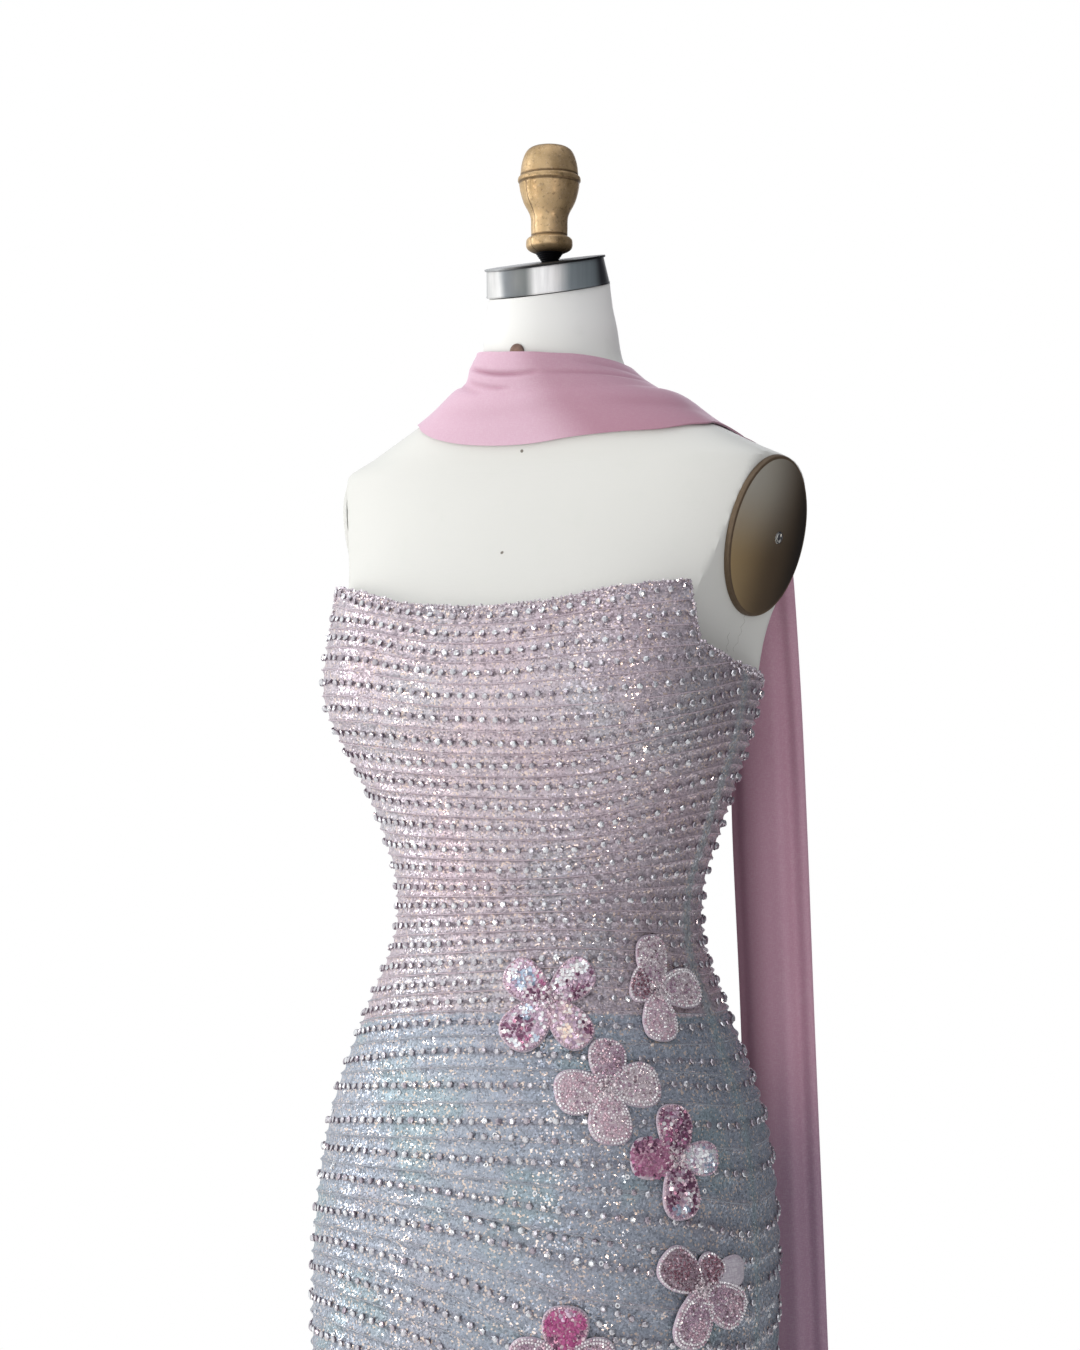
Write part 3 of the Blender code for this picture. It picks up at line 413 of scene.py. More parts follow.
def along_turn(surface, turn, height):
    return surface(turn + TURN_STEP, height) - surface(turn - TURN_STEP, height)


def outward(turn, height):
    along = along_turn(plain_gown, turn, height)
    return unit(stack(along[..., 1], -along[..., 0], 0.0))


def gown(turn, height, out=0.0):
    """Points of the gown's outer face, or of a face this far out from it."""
    turn, height = paired(turn, height)
    flute = FLUTE_DEPTH * ease((FLUTE_TOP - height) / FLUTE_TOP) * np.cos(FLUTES * turn)
    return plain_gown(turn, height) + outward(turn, height) * (flute + out)[..., None]


def normals(surface, turn, height):
    upward = surface(turn, height + HEIGHT_STEP) - surface(turn, height - HEIGHT_STEP)
    return unit(np.cross(along_turn(surface, turn, height), upward))


def form(turn, height):
    """Points of the dress form, cut flat where the arm plates go."""
    turn, height = paired(turn, height)
    parting = ease((height - FORM_PARTS_FROM_GOWN) / (FORM_OWN_SHAPE - FORM_PARTS_FROM_GOWN))[..., None]
    points = gown(turn, height, -CLOTH - EASE) * (1 - parting)
    points = points + section_points(FORM_SECTIONS, turn, height) * parting
    for side in (-1, 1):
        facing = PLATE_NORMAL * (side, 1, 1)
        outside = np.maximum((points - PLATE_CENTRE * (side, 1, 1)) @ facing, 0)
        points[..., 0] -= outside / facing[0]
    return points


def neckline(turn):
    return np.interp(np.abs(np.degrees(turn)), *zip(*NECKLINE))


def row_height(number, turn):
    """The height of the sewn row of this number, which may be between two rows, at this turn."""
    number, turn = paired(number, np.degrees(turn))
    heights = table_at(ROW_LINES, number)
    heights = np.concatenate((heights, heights[..., :1]), axis=-1)

    def pick(index):
        return np.take_along_axis(heights, index[..., None], -1)[..., 0]

    return hermite(ROW_TURNS, pick, turn) * MM


def row_at(turn, height):
    """The number of the row at one turn and height."""
    numbers = np.linspace(-2, LAST_ROW, 661)
    return float(np.interp(-height, -row_height(numbers, turn), numbers))


def ridge(number):
    """How far the tulle stands out from its plain face: pulled up at each row and corded line."""
    near = np.abs(2 * ((2 * number) % 1) - 1)
    return (RIDGE_PEAK + RIDGE_VALLEY) * near**2.4 - RIDGE_VALLEY


def petal_half_width(petal, around):
    """The egg shape of a petal, from its heart (0) round its tip (pi) and back."""
    full = np.sign(np.sin(around)) * np.abs(np.sin(around)) ** 0.8
    return petal.half_width * full * (0.80 - 0.20 * np.cos(around)) / EGG


def along_petal(petal, right, above):
    way = math.radians(petal.towards)
    return right * math.cos(way) + above * math.sin(way), above * math.cos(way) - right * math.sin(way)


def around_per_radian(flower):
    step = along_turn(gown, math.radians(flower.turn), flower.height)
    return float(np.linalg.norm(step)) / (2 * TURN_STEP)


def in_flower(turn, height, margin):
    """True where a point is under a flower's petal, which is grown by this margin."""
    hidden = np.zeros(np.shape(turn), bool)
    for flower in FLOWERS:
        right = (turn - math.radians(flower.turn)) * around_per_radian(flower) / MM - flower.right
        above = (height - flower.height) / MM - flower.above
        for petal in flower.petals:
            along, across = along_petal(petal, right, above)
            around = np.arccos(1 - 2 * np.clip(along / petal.length, 0, 1))
            near = (along > -margin / MM) & (along < petal.length + margin / MM)
            hidden |= near & (np.abs(across) < petal_half_width(petal, around) + margin / MM)
    return hidden


# --- Building meshes -----------------------------------------------------------------------------


def add_piece(name, points, faces, materials, slot, node=None, smooth=True, indices=None, sharp=None,
              turn_out=False):
    """A piece; its slot is not used. If a node is named, the piece takes that solid's place."""
    mesh = bpy.data.meshes.new(name)
    mesh.from_pydata(np.asarray(points, float).reshape(-1, 3).tolist(), [], faces)
    if turn_out:
        surface = bmesh.new()
        surface.from_mesh(mesh)
        bmesh.ops.recalc_face_normals(surface, faces=surface.faces)
        surface.to_mesh(mesh)
        surface.free()
    if indices is not None:
        mesh.polygons.foreach_set("material_index", np.asarray(indices, np.int32))
    if smooth:
        mesh.shade_smooth()
        if sharp:
            mesh.set_sharp_from_angle(angle=math.radians(sharp))
    for material in materials:
        mesh.materials.append(material)
    mesh.update()
    piece = bpy.data.objects.new(name, mesh)
    bpy.context.scene.collection.objects.link(piece)
    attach(piece, BODY)
    if node:
        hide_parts(node)
    return piece


def grid_faces(rows, columns, offset=0, flip=False, wrap=False):
    faces = []
    for r in range(rows - 1):
        for c in range(columns if wrap else columns - 1):
            a, b = offset + r * columns + c, offset + r * columns + (c + 1) % columns
            face = (a, a + columns, b + columns, b)
            faces.append(face[::-1] if flip else face)
    return faces


def closed_faces(rows, sides, offset=0):
    """Faces of a closed solid of rings: round it, then its first and its last end."""
    last = offset + (rows - 1) * sides
    ends = [tuple(range(offset, offset + sides)), tuple(range(last + sides - 1, last - 1, -1))]
    return grid_faces(rows, sides, offset, wrap=True) + ends


def thin_shell(name, outer, inner, every, material, slot, node, turn_out=False):
    """A closed shell from a fine outer grid and an inner grid with one row for every few of it."""
    rows, columns = outer.shape[:2]
    picked = list(range(0, rows - 1, every)) + [rows - 1]
    inner = inner[picked]
    base = rows * columns
    faces = grid_faces(rows, columns) + grid_faces(len(picked), columns, base, flip=True)
    for c in range(columns - 1):
        faces.append((c, c + 1, base + c + 1, base + c))
        low, low_in = (rows - 1) * columns + c, base + (len(picked) - 1) * columns + c
        faces.append((low + 1, low, low_in, low_in + 1))
    for k, (a, b) in enumerate(zip(picked, picked[1:])):
        for column, flip in ((0, True), (columns - 1, False)):
            face = [r * columns + column for r in range(a, b + 1)]
            face += [base + (k + 1) * columns + column, base + k * columns + column]
            faces.append(tuple(face[::-1] if flip else face))
    points = np.concatenate((outer.reshape(-1, 3), inner.reshape(-1, 3)))
    return add_piece(name, points, faces, [material], slot, node, sharp=60, turn_out=turn_out), picked


def point_values(piece, label, values, picked):
    """Gives a thin shell's material a number at each of its points."""
    data = np.concatenate((values.ravel(), values[picked].ravel())).astype(np.float32)
    piece.data.attributes.new(label, "FLOAT", "POINT").data.foreach_set("value", data)


def tubes(name, lines, radius, material, slot, sides=4):
    """Thin round cords along lines of points, each with its own directions out of the cloth."""
    points, faces, start = [], [], 0
    cosines, sines = np.cos(circle(sides))[None, :, None], np.sin(circle(sides))[None, :, None]
    for line, out in lines:
        across = np.cross(unit(np.gradient(line, axis=0)), out)
        ring = across[:, None, :] * cosines + out[:, None, :] * sines
        points.append((line[:, None, :] + ring * radius).reshape(-1, 3))
        faces += closed_faces(len(line), sides, start)
        start += len(line) * sides
    return add_piece(name, np.concatenate(points), faces, [material], slot)


Shape = namedtuple("Shape", "points faces slots")


def ringed_shape(rings, sides, slots):
    """A small faceted solid: rings of radius and height from below, closed at both ends."""
    points = [(r * math.cos(a), r * math.sin(a), h) for r, h in rings for a in circle(sides)]
    faces = [face[::-1] for face in closed_faces(len(rings), sides)]
    face_slots = [slot for slot in slots[: len(rings) - 1] for _ in range(sides)]
    return Shape(np.array(points), faces, face_slots + [slots[0], slots[-1]])


def ring_shape(rings, sides):
    """A small ring whose section runs through these radii and heights."""
    points = [(r * math.cos(a), r * math.sin(a), h) for r, h in rings for a in circle(sides)]
    faces = []
    for ring in range(len(rings)):
        a, b = ring * sides, (ring + 1) % len(rings) * sides
        faces += [(a + k, a + (k + 1) % sides, b + (k + 1) % sides, b + k) for k in range(sides)]
    return Shape(np.array(points), faces, [0] * len(faces))


CRYSTAL = ringed_shape(((0.90, -0.2), (1.0, 0.20), (0.82, 0.46), (0.42, 0.62)), 6, (1, 0, 0, 0))
FLAKE = ringed_shape(((1.0, 0.0), (0.86, 0.16)), 6, (0, 0))
SEED = ringed_shape(((1.0, 0.1), (0.6, 0.9)), 5, (0, 0))
SEQUIN = ringed_shape(((1.0, 0.0), (0.93, 0.10)), 8, (0, 0))
RING = ring_shape(((0.45, 0.0), (1.0, 0.0), (1.0, 0.3), (0.72, 0.42), (0.45, 0.3)), 9)


def frames_on(out, tilt):
    """Axes for things that lie on cloth: a random one along it, one across, and the way out."""
    out = unit(out + rng.normal(0, tilt, out.shape))
    across = unit(np.cross(unit(rng.normal(0, 1, out.shape)), out))
    return np.stack((np.cross(out, across), across, out), axis=1)


def gather(name, parts, materials, slot):
    """One mesh of small things: each part is a shape with its places, axes, sizes and materials."""
    points, faces, indices, start = [], [], [], 0
    for shape, places, axes, sizes, added in parts:
        local = shape.points[None] * np.asarray(sizes).reshape(-1, 1, 1)
        points.append((places[:, None, :] + local @ axes).reshape(-1, 3))
        size = len(shape.points)
        for k in range(len(places)):
            faces += [tuple(start + k * size + v for v in face) for face in shape.faces]
            indices += [int(added[k]) + index for index in shape.slots]
        start += size * len(places)
    return add_piece(name, np.concatenate(points), faces, materials, slot, smooth=False, indices=indices)


def strew(name, shape, turns, heights, lift, sizes, tilt, materials, ridged=True):
    """Copies of a small shape, this far over the tulle's ridges or over the gown's plain face."""
    out = normals(gown, turns, heights)
    if ridged:
        lift = lift + ridge(np.array([row_at(t, h) for t, h in zip(turns, heights)]))[:, None]
    part = shape, gown(turns, heights) + out * lift, frames_on(out, tilt), sizes, np.zeros(len(turns))
    return gather(name, [part], materials, "beaded_tulle")


# --- Materials -----------------------------------------------------------------------------------


def tint(code):
    """A colour written as six hex digits, for a shader."""
    parts = [int(code[k : k + 2], 16) / 255 for k in (0, 2, 4)]
    return tuple(p / 12.92 if p <= 0.04045 else ((p + 0.055) / 1.055) ** 2.4 for p in parts) + (1.0,)


class Nodes:
    """A node tree, with short ways to add to it."""

    def __init__(self, tree):
        self.tree = tree

    def put(self, value, socket):
        """Links an output to a socket, or writes a number or a colour there."""
        if isinstance(value, bpy.types.NodeSocket):
            self.tree.links.new(value, socket)
        else:
            socket.default_value = tint(value) if isinstance(value, str) else value

    def node(self, kind, values=(), **settings):
        made = self.tree.nodes.new("ShaderNode" + kind)
        for key, value in settings.items():
            setattr(made, key, value)
        for socket, value in dict(values).items():
            self.put(value, made.inputs[socket])
        return made

    def mix(self, share, a, b, blend="MIX"):
        return self.node("Mix", {0: share, 6: a, 7: b}, data_type="RGBA", blend_type=blend).outputs[2]

    def vector(self, operation, a, b):
        return self.node("VectorMath", {0: a, 1: b}, operation=operation).outputs


class Finish(Nodes):
    """A material whose looks are made of nodes."""

    def __init__(self, name, colour, **sockets):
        self.material = bpy.data.materials.new(name)
        self.material.use_nodes = True
        super().__init__(self.material.node_tree)
        self.shader = self.tree.nodes["Principled BSDF"]
        self.shader.inputs["Base Color"].default_value = self.material.diffuse_color = tint(colour)
        for socket, value in sockets.items():
            self.put(value, self.shader.inputs[socket.replace("_", " ")])
        self.place = self.tree.nodes.new("ShaderNodeTexCoord").outputs["Object"]

    def noise(self, scale, detail=2.0, stretch=None):
        place = self.place
        if stretch:
            place = self.node("Mapping", {"Vector": place, "Scale": stretch}).outputs[0]
        return self.node("TexNoise", {"Vector": place, "Scale": scale, "Detail": detail}).outputs["Fac"]

    def weave(self, scale, thin):
        """Threads both ways."""
        return self.times(self.noise(scale, 0, (1, 1, thin)), self.noise(scale, 0, (thin, thin, 1)))

    def cells(self, scale):
        return self.node("TexVoronoi", {"Vector": self.place, "Scale": scale}).outputs["Color"]

    def luck(self, cells):
        """One random number for each cell."""
        return self.node("SeparateColor", {0: cells}).outputs[0]

    def math(self, operation, a, b=0.0, clamp=False):
        return self.node("Math", {0: a, 1: b}, operation=operation, use_clamp=clamp).outputs[0]

    def times(self, a, b):
        return self.math("MULTIPLY", a, b)

    def less(self, a, b):
        return self.math("SUBTRACT", a, b)

    def wander(self, value, noise, reach, clamp=False):
        """The value, moved up or down by a noise."""
        return self.math("ADD", value, self.times(self.less(noise, 0.5), reach), clamp)

    def steps(self, value, low, high, out_low=0.0, out_high=1.0):
        values = {"Value": value, "From Min": low, "From Max": high, "To Min": out_low, "To Max": out_high}
        return self.node("MapRange", values, interpolation_type="SMOOTHSTEP").outputs["Result"]

    def over(self, base, value, low, high, amount, colour):
        """The base with some of a colour on it, where the value goes from low to high."""
        return self.mix(self.steps(value, low, high, 0, amount), base, colour)

    def attribute(self, name, output="Fac"):
        return self.node("Attribute", attribute_name=name).outputs[output]

    def axis(self, letter):
        return self.node("SeparateXYZ", {0: self.place}).outputs[letter]

    def height(self):
        return self.axis("Z")

    def turn(self, middle_y):
        """The turn about an upright axis."""
        parts = self.node("SeparateXYZ", {0: self.place}).outputs
        return self.math("ARCTAN2", parts["X"], self.times(self.less(parts["Y"], middle_y), -1.0))

    def set(self, socket, value):
        self.put(value, self.shader.inputs[socket])

    def bump(self, value, distance, strength=1.0):
        values = {"Height": value, "Distance": distance, "Strength": strength}
        self.set("Normal", self.node("Bump", values).outputs[0])

    def sparkle(self, cells, spread):
        """Each cell of a glitter faces its own way."""
        centred = self.vector("SUBTRACT", cells, (0.5, 0.5, 0.5))[0]
        tilted = self.node("VectorMath", {0: centred, "Scale": spread}, operation="SCALE").outputs[0]
        added = self.vector("ADD", self.node("NewGeometry").outputs["Normal"], tilted)[0]
        self.set("Normal", self.node("VectorMath", {0: added}, operation="NORMALIZE").outputs[0])


def tulle_finish():
    f = Finish("tulle", "C8BCC7", Metallic=0.5, Roughness=0.38)
    row, seam = f.attribute("row"), f.attribute("seam")
    patches, cloud = f.noise(16, 3), f.noise(90, 2)
    bodice = f.mix(cloud, "D2C4D2", "F2E8F1")
    bodice = f.over(bodice, patches, 0.50, 0.64, 0.35, "EBCFDB")
    bodice = f.over(bodice, patches, 0.44, 0.34, 0.30, "CFDDE4")
    skirt = f.mix(cloud, "ABB5C6", "CDD6E6")
    skirt = f.over(skirt, patches, 0.52, 0.64, 0.40, "A9CBD0")
    skirt = f.over(skirt, patches, 0.42, 0.34, 0.22, "C5BCCB")
    ragged = f.wander(row, f.noise(120, 2), 0.35)
    skirt_share = f.steps(ragged, SKIRT_COLOUR_FROM - 0.08, SKIRT_COLOUR_FROM + 0.08)
    base = f.mix(skirt_share, bodice, skirt)
    part = f.math("FRACT", row)
    to_bead = f.math("MINIMUM", part, f.less(1.0, part))
    to_cord = f.math("ABSOLUTE", f.less(part, 0.5))
    # Dark mauve along each row of crystals: its thread, and painted shade under the beads.
    base = f.over(base, to_bead, 0.17, 0.05, 0.30, "7E6C78")
    # Pale thread along each corded line, with a painted shadow either side of it.
    base = f.over(base, to_cord, 0.05, 0.02, 0.3, "EFE2EA")
    base = f.mix(f.steps(to_cord, 0.05, 0.09, 0.15, 0), base, "8E8090")
    base = f.mix(f.times(seam, 0.45), base, "BBD8DC")
    grains = f.cells(820)
    luck = f.luck(grains)
    base = f.mix(1.0, base, f.mix(luck, "B4B4B4", "FFFFFF"), blend="MULTIPLY")
    # Darker below the hips, towards the hem: painted shade over the lower skirt.
    base = f.over(base, f.height(), 0.99, 0.88, 0.10, "5E6672")
    # The palest grains are warm white: glitter's own colour, and partly a painted warm glint.
    f.set("Base Color", f.over(base, luck, 0.88, 0.94, 0.75, "FFE6D2"))
    dull = f.math("ADD", f.steps(luck, 0.0, 1.0, 0.52, 0.22), f.times(skirt_share, 0.08))
    f.set("Roughness", f.times(dull, f.steps(luck, 0.78, 0.84, 1.0, 0.5)))
    # The smooth grains lie almost flat, so they glint together where the gown faces a lamp.
    f.sparkle(grains, f.steps(luck, 0.78, 0.84, 0.75, 0.26))
    return f.material


def cord_finish():
    f = Finish("cords", "C4B6C0", Metallic=0.3, Roughness=0.42)
    mauve = f.mix(f.noise(90, 2), "A898A4", "E2D4DD")
    grey = f.mix(f.noise(90, 2), "8F98A2", "B4BCC6")
    f.set("Base Color", f.mix(f.steps(f.height(), 1.035, 1.015), mauve, grey))
    return f.material


def crystal_finish():
    f = Finish("crystal", "C9C6CC", Metallic=0.7, Roughness=0.1)
    luck = f.luck(f.cells(150))
    grey, mauve = f.mix(luck, "A9A3AD", "E9E6EA"), f.mix(luck, "B8A7B2", "DFE8EC")
    f.set("Base Color", f.mix(f.noise(30, 2), grey, mauve))
    return f.material


def plain_finish(name, dark, light, scale, bump=0.0, **sockets):
    """Two tones in soft patches, over finer grain that roughens the surface."""
    f = Finish(name, light, **sockets)
    fine = f.noise(scale * 6, 3)
    f.set("Base Color", f.mix(f.wander(f.noise(scale, 3), fine, 0.4, True), dark, light))
    if bump:
        f.bump(fine, bump)
    return f.material


def chip_finish(name, dark, light, metallic, rough, pitch=2 * MM):
    """Sequins or beads, each with its own tone."""
    f = Finish(name, light, Metallic=metallic, Roughness=rough)
    f.set("Base Color", f.mix(f.luck(f.cells(1 / pitch)), dark, light))
    return f.material


def chiffon_finish(name, tones, sheen, shade_colour):
    """Fine cloth: a dark and a light tone at each height, with painted shade by its shade numbers, as in
    its creases and by the gown.
    """
    f = Finish(name, tones[-1][2], Roughness=0.72, Sheen_Weight=sheen, Sheen_Roughness=0.35,
               Sheen_Tint="F3E6F2")
    patches = f.noise(9, 3)
    base = f.mix(patches, *tones[0][1:])
    for low, high in zip(tones, tones[1:]):
        base = f.mix(f.steps(f.height(), low[0], high[0]), base, f.mix(patches, *high[1:]))
    weave = f.weave(2600, 0.15)
    base = f.over(base, weave, 0.15, 0.4, 0.08, "FFFFFF")
    f.set("Base Color", f.mix(f.attribute("shade"), base, shade_colour))
    f.bump(weave, 0.05 * MM, 0.3)
    return f.material


def organza_finish():
    f = Finish("organza", "B9A2B4", Roughness=0.42, Sheen_Weight=0.3)
    tone, weave = f.attribute("tone", "Color"), f.weave(1900, 0.1)
    f.set("Base Color", f.over(tone, weave, 0.18, 0.34, 0.25, "FFFFFF"))
    f.bump(weave, 0.08 * MM, 0.6)
    return f.material


def form_finish():
    """Painted linen over papier mache, with painted light up the neck and two pin holes in the chest drawn
    as dark spots of painted shade.
    """
    f = Finish("form_cover", "E0E1DB", Roughness=0.5)
    base = f.mix(f.noise(6, 3), "D6D7D3", "DFE0DC")
    # Lighter up the neck: painted light.
    base = f.over(base, f.height(), 1.455, 1.50, 0.6, "FAFBFA")
    base = f.over(base, f.noise(45, 4), 0.55, 0.75, 0.25, "D5D8D2")
    # Each pin hole is a dark spot of painted shade.
    for height in PIN_HOLES:
        hole = tuple(float(v) for v in form(0.0, height))
        base = f.over(base, f.vector("DISTANCE", f.place, hole)["Value"], 1.5 * MM, 0.9 * MM, 0.9, "5E564A")
    f.set("Base Color", base)
    f.bump(f.math("ADD", f.weave(900, 0.1), f.times(f.noise(30, 3), 2.0)), 0.10 * MM, 0.6)
    return f.material


def brushed_finish(name, dark, light, stretch):
    """Metal with fine lines one way."""
    f = Finish(name, light, Metallic=1.0)
    lines = f.noise(40, 3, stretch)
    f.set("Base Color", f.mix(lines, dark, light))
    f.set("Roughness", f.steps(lines, 0.3, 0.7, 0.20, 0.36))
    f.bump(lines, 0.02 * MM, 0.5)
    return f.material


# Turn and colour of the cap's painted reflections.
CAP_REFLECTIONS = ((-150, "8A8F91"), (-62, "A4A8A9"), (-38, "DCDCDC"), (-26, "CFCFCF"), (-12, "70757A"),
             (8, "757A7B"), (20, "F6F6F6"), (34, "F2F2F2"), (52, "8E989D"), (74, "848F94"),
             (90, "232227"), (150, "8A8F91"))


def cap_finish():
    """Brushed steel, with soft bright and dark bands round its turn: painted reflections."""
    f = Finish("brushed_cap", "A4A9AA", Metallic=0.35, Roughness=0.4)
    turn, base = f.turn(NECK_AXIS_Y), CAP_REFLECTIONS[0][1]
    for (last, _), (band, colour) in zip(CAP_REFLECTIONS, CAP_REFLECTIONS[1:]):
        base = f.mix(f.steps(turn, math.radians(last), math.radians(band)), base, colour)
    lines = f.noise(40, 3, (8, 8, 0.4))
    f.set("Base Color", f.over(base, lines, 0.3, 0.7, 0.16, "5C6164"))
    f.bump(lines, 0.02 * MM, 0.5)
    return f.material


FINIAL_BASE = 1.5510
FINIAL_Y = -0.0025
# Heights and radii in millimetres.
FINIAL = ((0, 10.5), (1.6, 14.2), (3.6, 16.2), (6.5, 16.6), (9.6, 16.0), (11.6, 13.4), (18.0, 13.1),
          (24.5, 13.3), (28.5, 14.5), (36.0, 18.4), (44.0, 20.8), (49.0, 21.6), (51.0, 22.5),
          (53.2, 22.3), (54.6, 21.0), (63.5, 19.7), (71.0, 17.0), (74.6, 13.2), (76.2, 7.5))
FINIAL_BEAD, FINIAL_BEAD_REACH = 51.8, 4   # its widest bead is here, and isn't smoothed
# Height, depth and breadth in millimetres.
FINIAL_GROOVES = ((11.9, 0.6, 0.6), (49.6, 0.5, 0.6), (54.9, 0.6, 0.6))
FINIAL_CRACK = math.radians(-23.0)  # a split runs down here


def aged_finish(name, dark, middle, light):
    """Cast metal, with painted shade underneath, darker in its grooves and in rubbed patches."""
    f = Finish(name, light, Metallic=0.65)
    patches = f.steps(f.noise(42, 5, (1, 1, 0.6)), 0.36, 0.64)
    # Dark at its foot: painted shade under the finial.
    under = f.steps(f.height(), FINIAL_BASE - 1 * MM, FINIAL_BASE + 2.5 * MM)
    base = f.mix(under, dark, f.mix(patches, middle, light))
    base = f.over(base, f.noise(420, 3), 0.55, 0.70, 0.4, dark)
    base = f.over(base, f.noise(900, 2), 0.55, 0.72, 0.35, "E0C8AE")
    for height, _, _ in FINIAL_GROOVES:
        near = f.math("ABSOLUTE", f.less(f.height(), FINIAL_BASE + height * MM))
        base = f.over(base, near, 1.4 * MM, 0.5 * MM, 0.65, dark)
    away = f.math("ABSOLUTE", f.less(f.wander(f.turn(FINIAL_Y), f.noise(60, 2), 0.30), FINIAL_CRACK))
    below = f.steps(f.height(), FINIAL_BASE + 0.050, FINIAL_BASE + 0.048)
    split = f.times(f.steps(away, 0.045, 0.015), below)
    f.set("Base Color", f.mix(f.times(split, 0.75), base, "3E2C1C"))
    f.set("Roughness", f.steps(f.noise(160, 3), 0.3, 0.7, 0.32, 0.5))
    f.bump(f.noise(350, 3), 0.08 * MM, 0.6)
    return f.material


TULLE = tulle_finish()
CRYSTALS = crystal_finish()
# The crystals' undersides: dark settings, darkened further as painted shade under each bead.
SETTINGS_AND_SHADE = plain_finish("settings", "5E505C", "857684", 300, Metallic=0.4, Roughness=0.4)
SEEDS = chip_finish("seed_beads", "BDB1BC", "F4EEF2", 0.6, 0.14, 3 * MM)
CORDS = cord_finish()
RINGS = plain_finish("ring_sequins", "D9DEE6", "FFFFFF", 200, Metallic=0.35, Roughness=0.2)

# --- The gown ------------------------------------------------------------------------------------

COLUMN_STEP = 1.8
STEEP_SPAN = 6                 # the neckline drops steeply within one of the spans below
STEEP_COLUMNS = 10
FRONT_STOPS = (0, 16, 32, 48, 56, 61, 69, 77, SIDE_SEAM)
BACK_STOPS = (SIDE_SEAM, 94, 103, 121, 139, 160, 180)
JOIN_ROW = 7                   # the grid follows the neckline above this row and the rows below it
TOP_STEPS = 64
ROW_SAMPLES = (0.0, 0.07, 0.18, 0.34, 0.5, 0.57, 0.68, 0.84)
INNER_EVERY = 8                # the inner face has one row for every eight of the outer one
LINE_STEP = 2.0                # degrees between the points of a sewn line
SHORTEST_LINE = 4              # points
SEAM_TAPE = 3.0 * MM
SEAM_FLATNESS = 0.85           # the tape by a seam takes away this share of the ridges
SEAM_CLEAR = math.degrees(8.0 * MM / 0.150)   # 8 mm, at about its radius
SKIRT_TOP = 1.025
SKIRT_SEEDS = 0.35             # the skirt has this share of the bodice's small beads
LOWER_BEADS_FROM = 27          # the crystals are two pieces, above and below this row
RING_COUNT = 420
RING_RADIUS = 1.75 * MM


def fine_columns(stops):
    columns = [stops[0]]
    for a, b in zip(stops, stops[1:]):
        count = STEEP_COLUMNS if b - a < STEEP_SPAN else round((b - a) / COLUMN_STEP)
        columns += [a + (b - a) * k / count for k in range(1, count + 1)]
    return columns


def mirrored(columns):
    return [-c for c in reversed(columns)]


def panel_numbers(turns):
    """The row number at each point of a panel's grid: its rows follow the sewn rows."""
    tops = np.array([row_at(turn, neckline(turn)) for turn in turns])
    upper = tops[None, :] + (JOIN_ROW - tops)[None, :] * np.linspace(0, 1, TOP_STEPS + 1)[:, None]
    lower = [k + share for k in range(JOIN_ROW, LAST_ROW) for share in ROW_SAMPLES][1:] + [LAST_ROW]
    return np.concatenate((upper, np.repeat(np.array(lower)[:, None], len(turns), axis=1)))


def pucker(turn, number):
    """Uneven fullness of the tulle between its rows."""
    wave = np.sin(23 * turn + 1.7 * number) + np.sin(41 * turn - 2.9 * number)
    return 1 + 0.16 * (wave + np.sin(67 * turn + 5.1 * number))


def make_panel(label, columns):
    turns = np.radians(columns)
    numbers = panel_numbers(turns)
    heights = row_height(numbers, turns[None, :])
    heights[0] = neckline(turns)
    turn_grid = np.broadcast_to(turns[None, :], heights.shape)
    plain = gown(turn_grid, heights)
    reach = np.linalg.norm(np.diff(plain, axis=1), axis=2)
    along = np.concatenate((np.zeros((len(plain), 1)), np.cumsum(reach, axis=1)), axis=1)
    to_seam = np.minimum(along, along[:, -1:] - along)
    taped = 1 - ease((to_seam - SEAM_TAPE) / SEAM_TAPE)
    lift = ridge(numbers) * pucker(turn_grid, numbers) * (1 - SEAM_FLATNESS * taped)
    lift[[0, -1]] = 0.0        # the top edge and the hem are plain
    outer = plain + normals(gown, turn_grid, heights) * lift[..., None]
    inner = gown(turn_grid, heights, -CLOTH)
    for end, side in ((0, 1), (-1, -1)):
        level = outward(turn_grid[:, end], heights[:, end])
        shift = np.cross(level, (0, 0, 1)) * (-side * SEAM_GAP / 2)
        outer[:, end] += shift
        inner[:, end] += shift
    piece, picked = thin_shell("tulle_" + label, outer, inner, INNER_EVERY, TULLE, "beaded_tulle",
                               "gown_" + label)
    point_values(piece, "row", numbers, picked)
    point_values(piece, "seam", taped, picked)
    return piece


def row_line(number, ends):
    """Turns and heights along a sewn line, between two turns in degrees."""
    low, high = ends
    turns = np.radians(np.linspace(low, high, int((high - low) / LINE_STEP)))
    heights = row_height(number, turns)
    keep = heights < neckline(turns) - UNDER_EDGE
    return turns[keep], heights[keep]


def places_along(turns, heights, pitch, phase):
    """Turns and heights at an even pitch along a line on the gown."""
    points = gown(turns, heights)
    far = np.concatenate(([0.0], np.cumsum(np.linalg.norm(np.diff(points, axis=0), axis=1))))
    stops = np.arange(phase, far[-1], pitch)
    return np.interp(stops, far, turns), np.interp(stops, far, heights)


def joined(places):
    return (np.concatenate(numbers) for numbers in zip(*places))


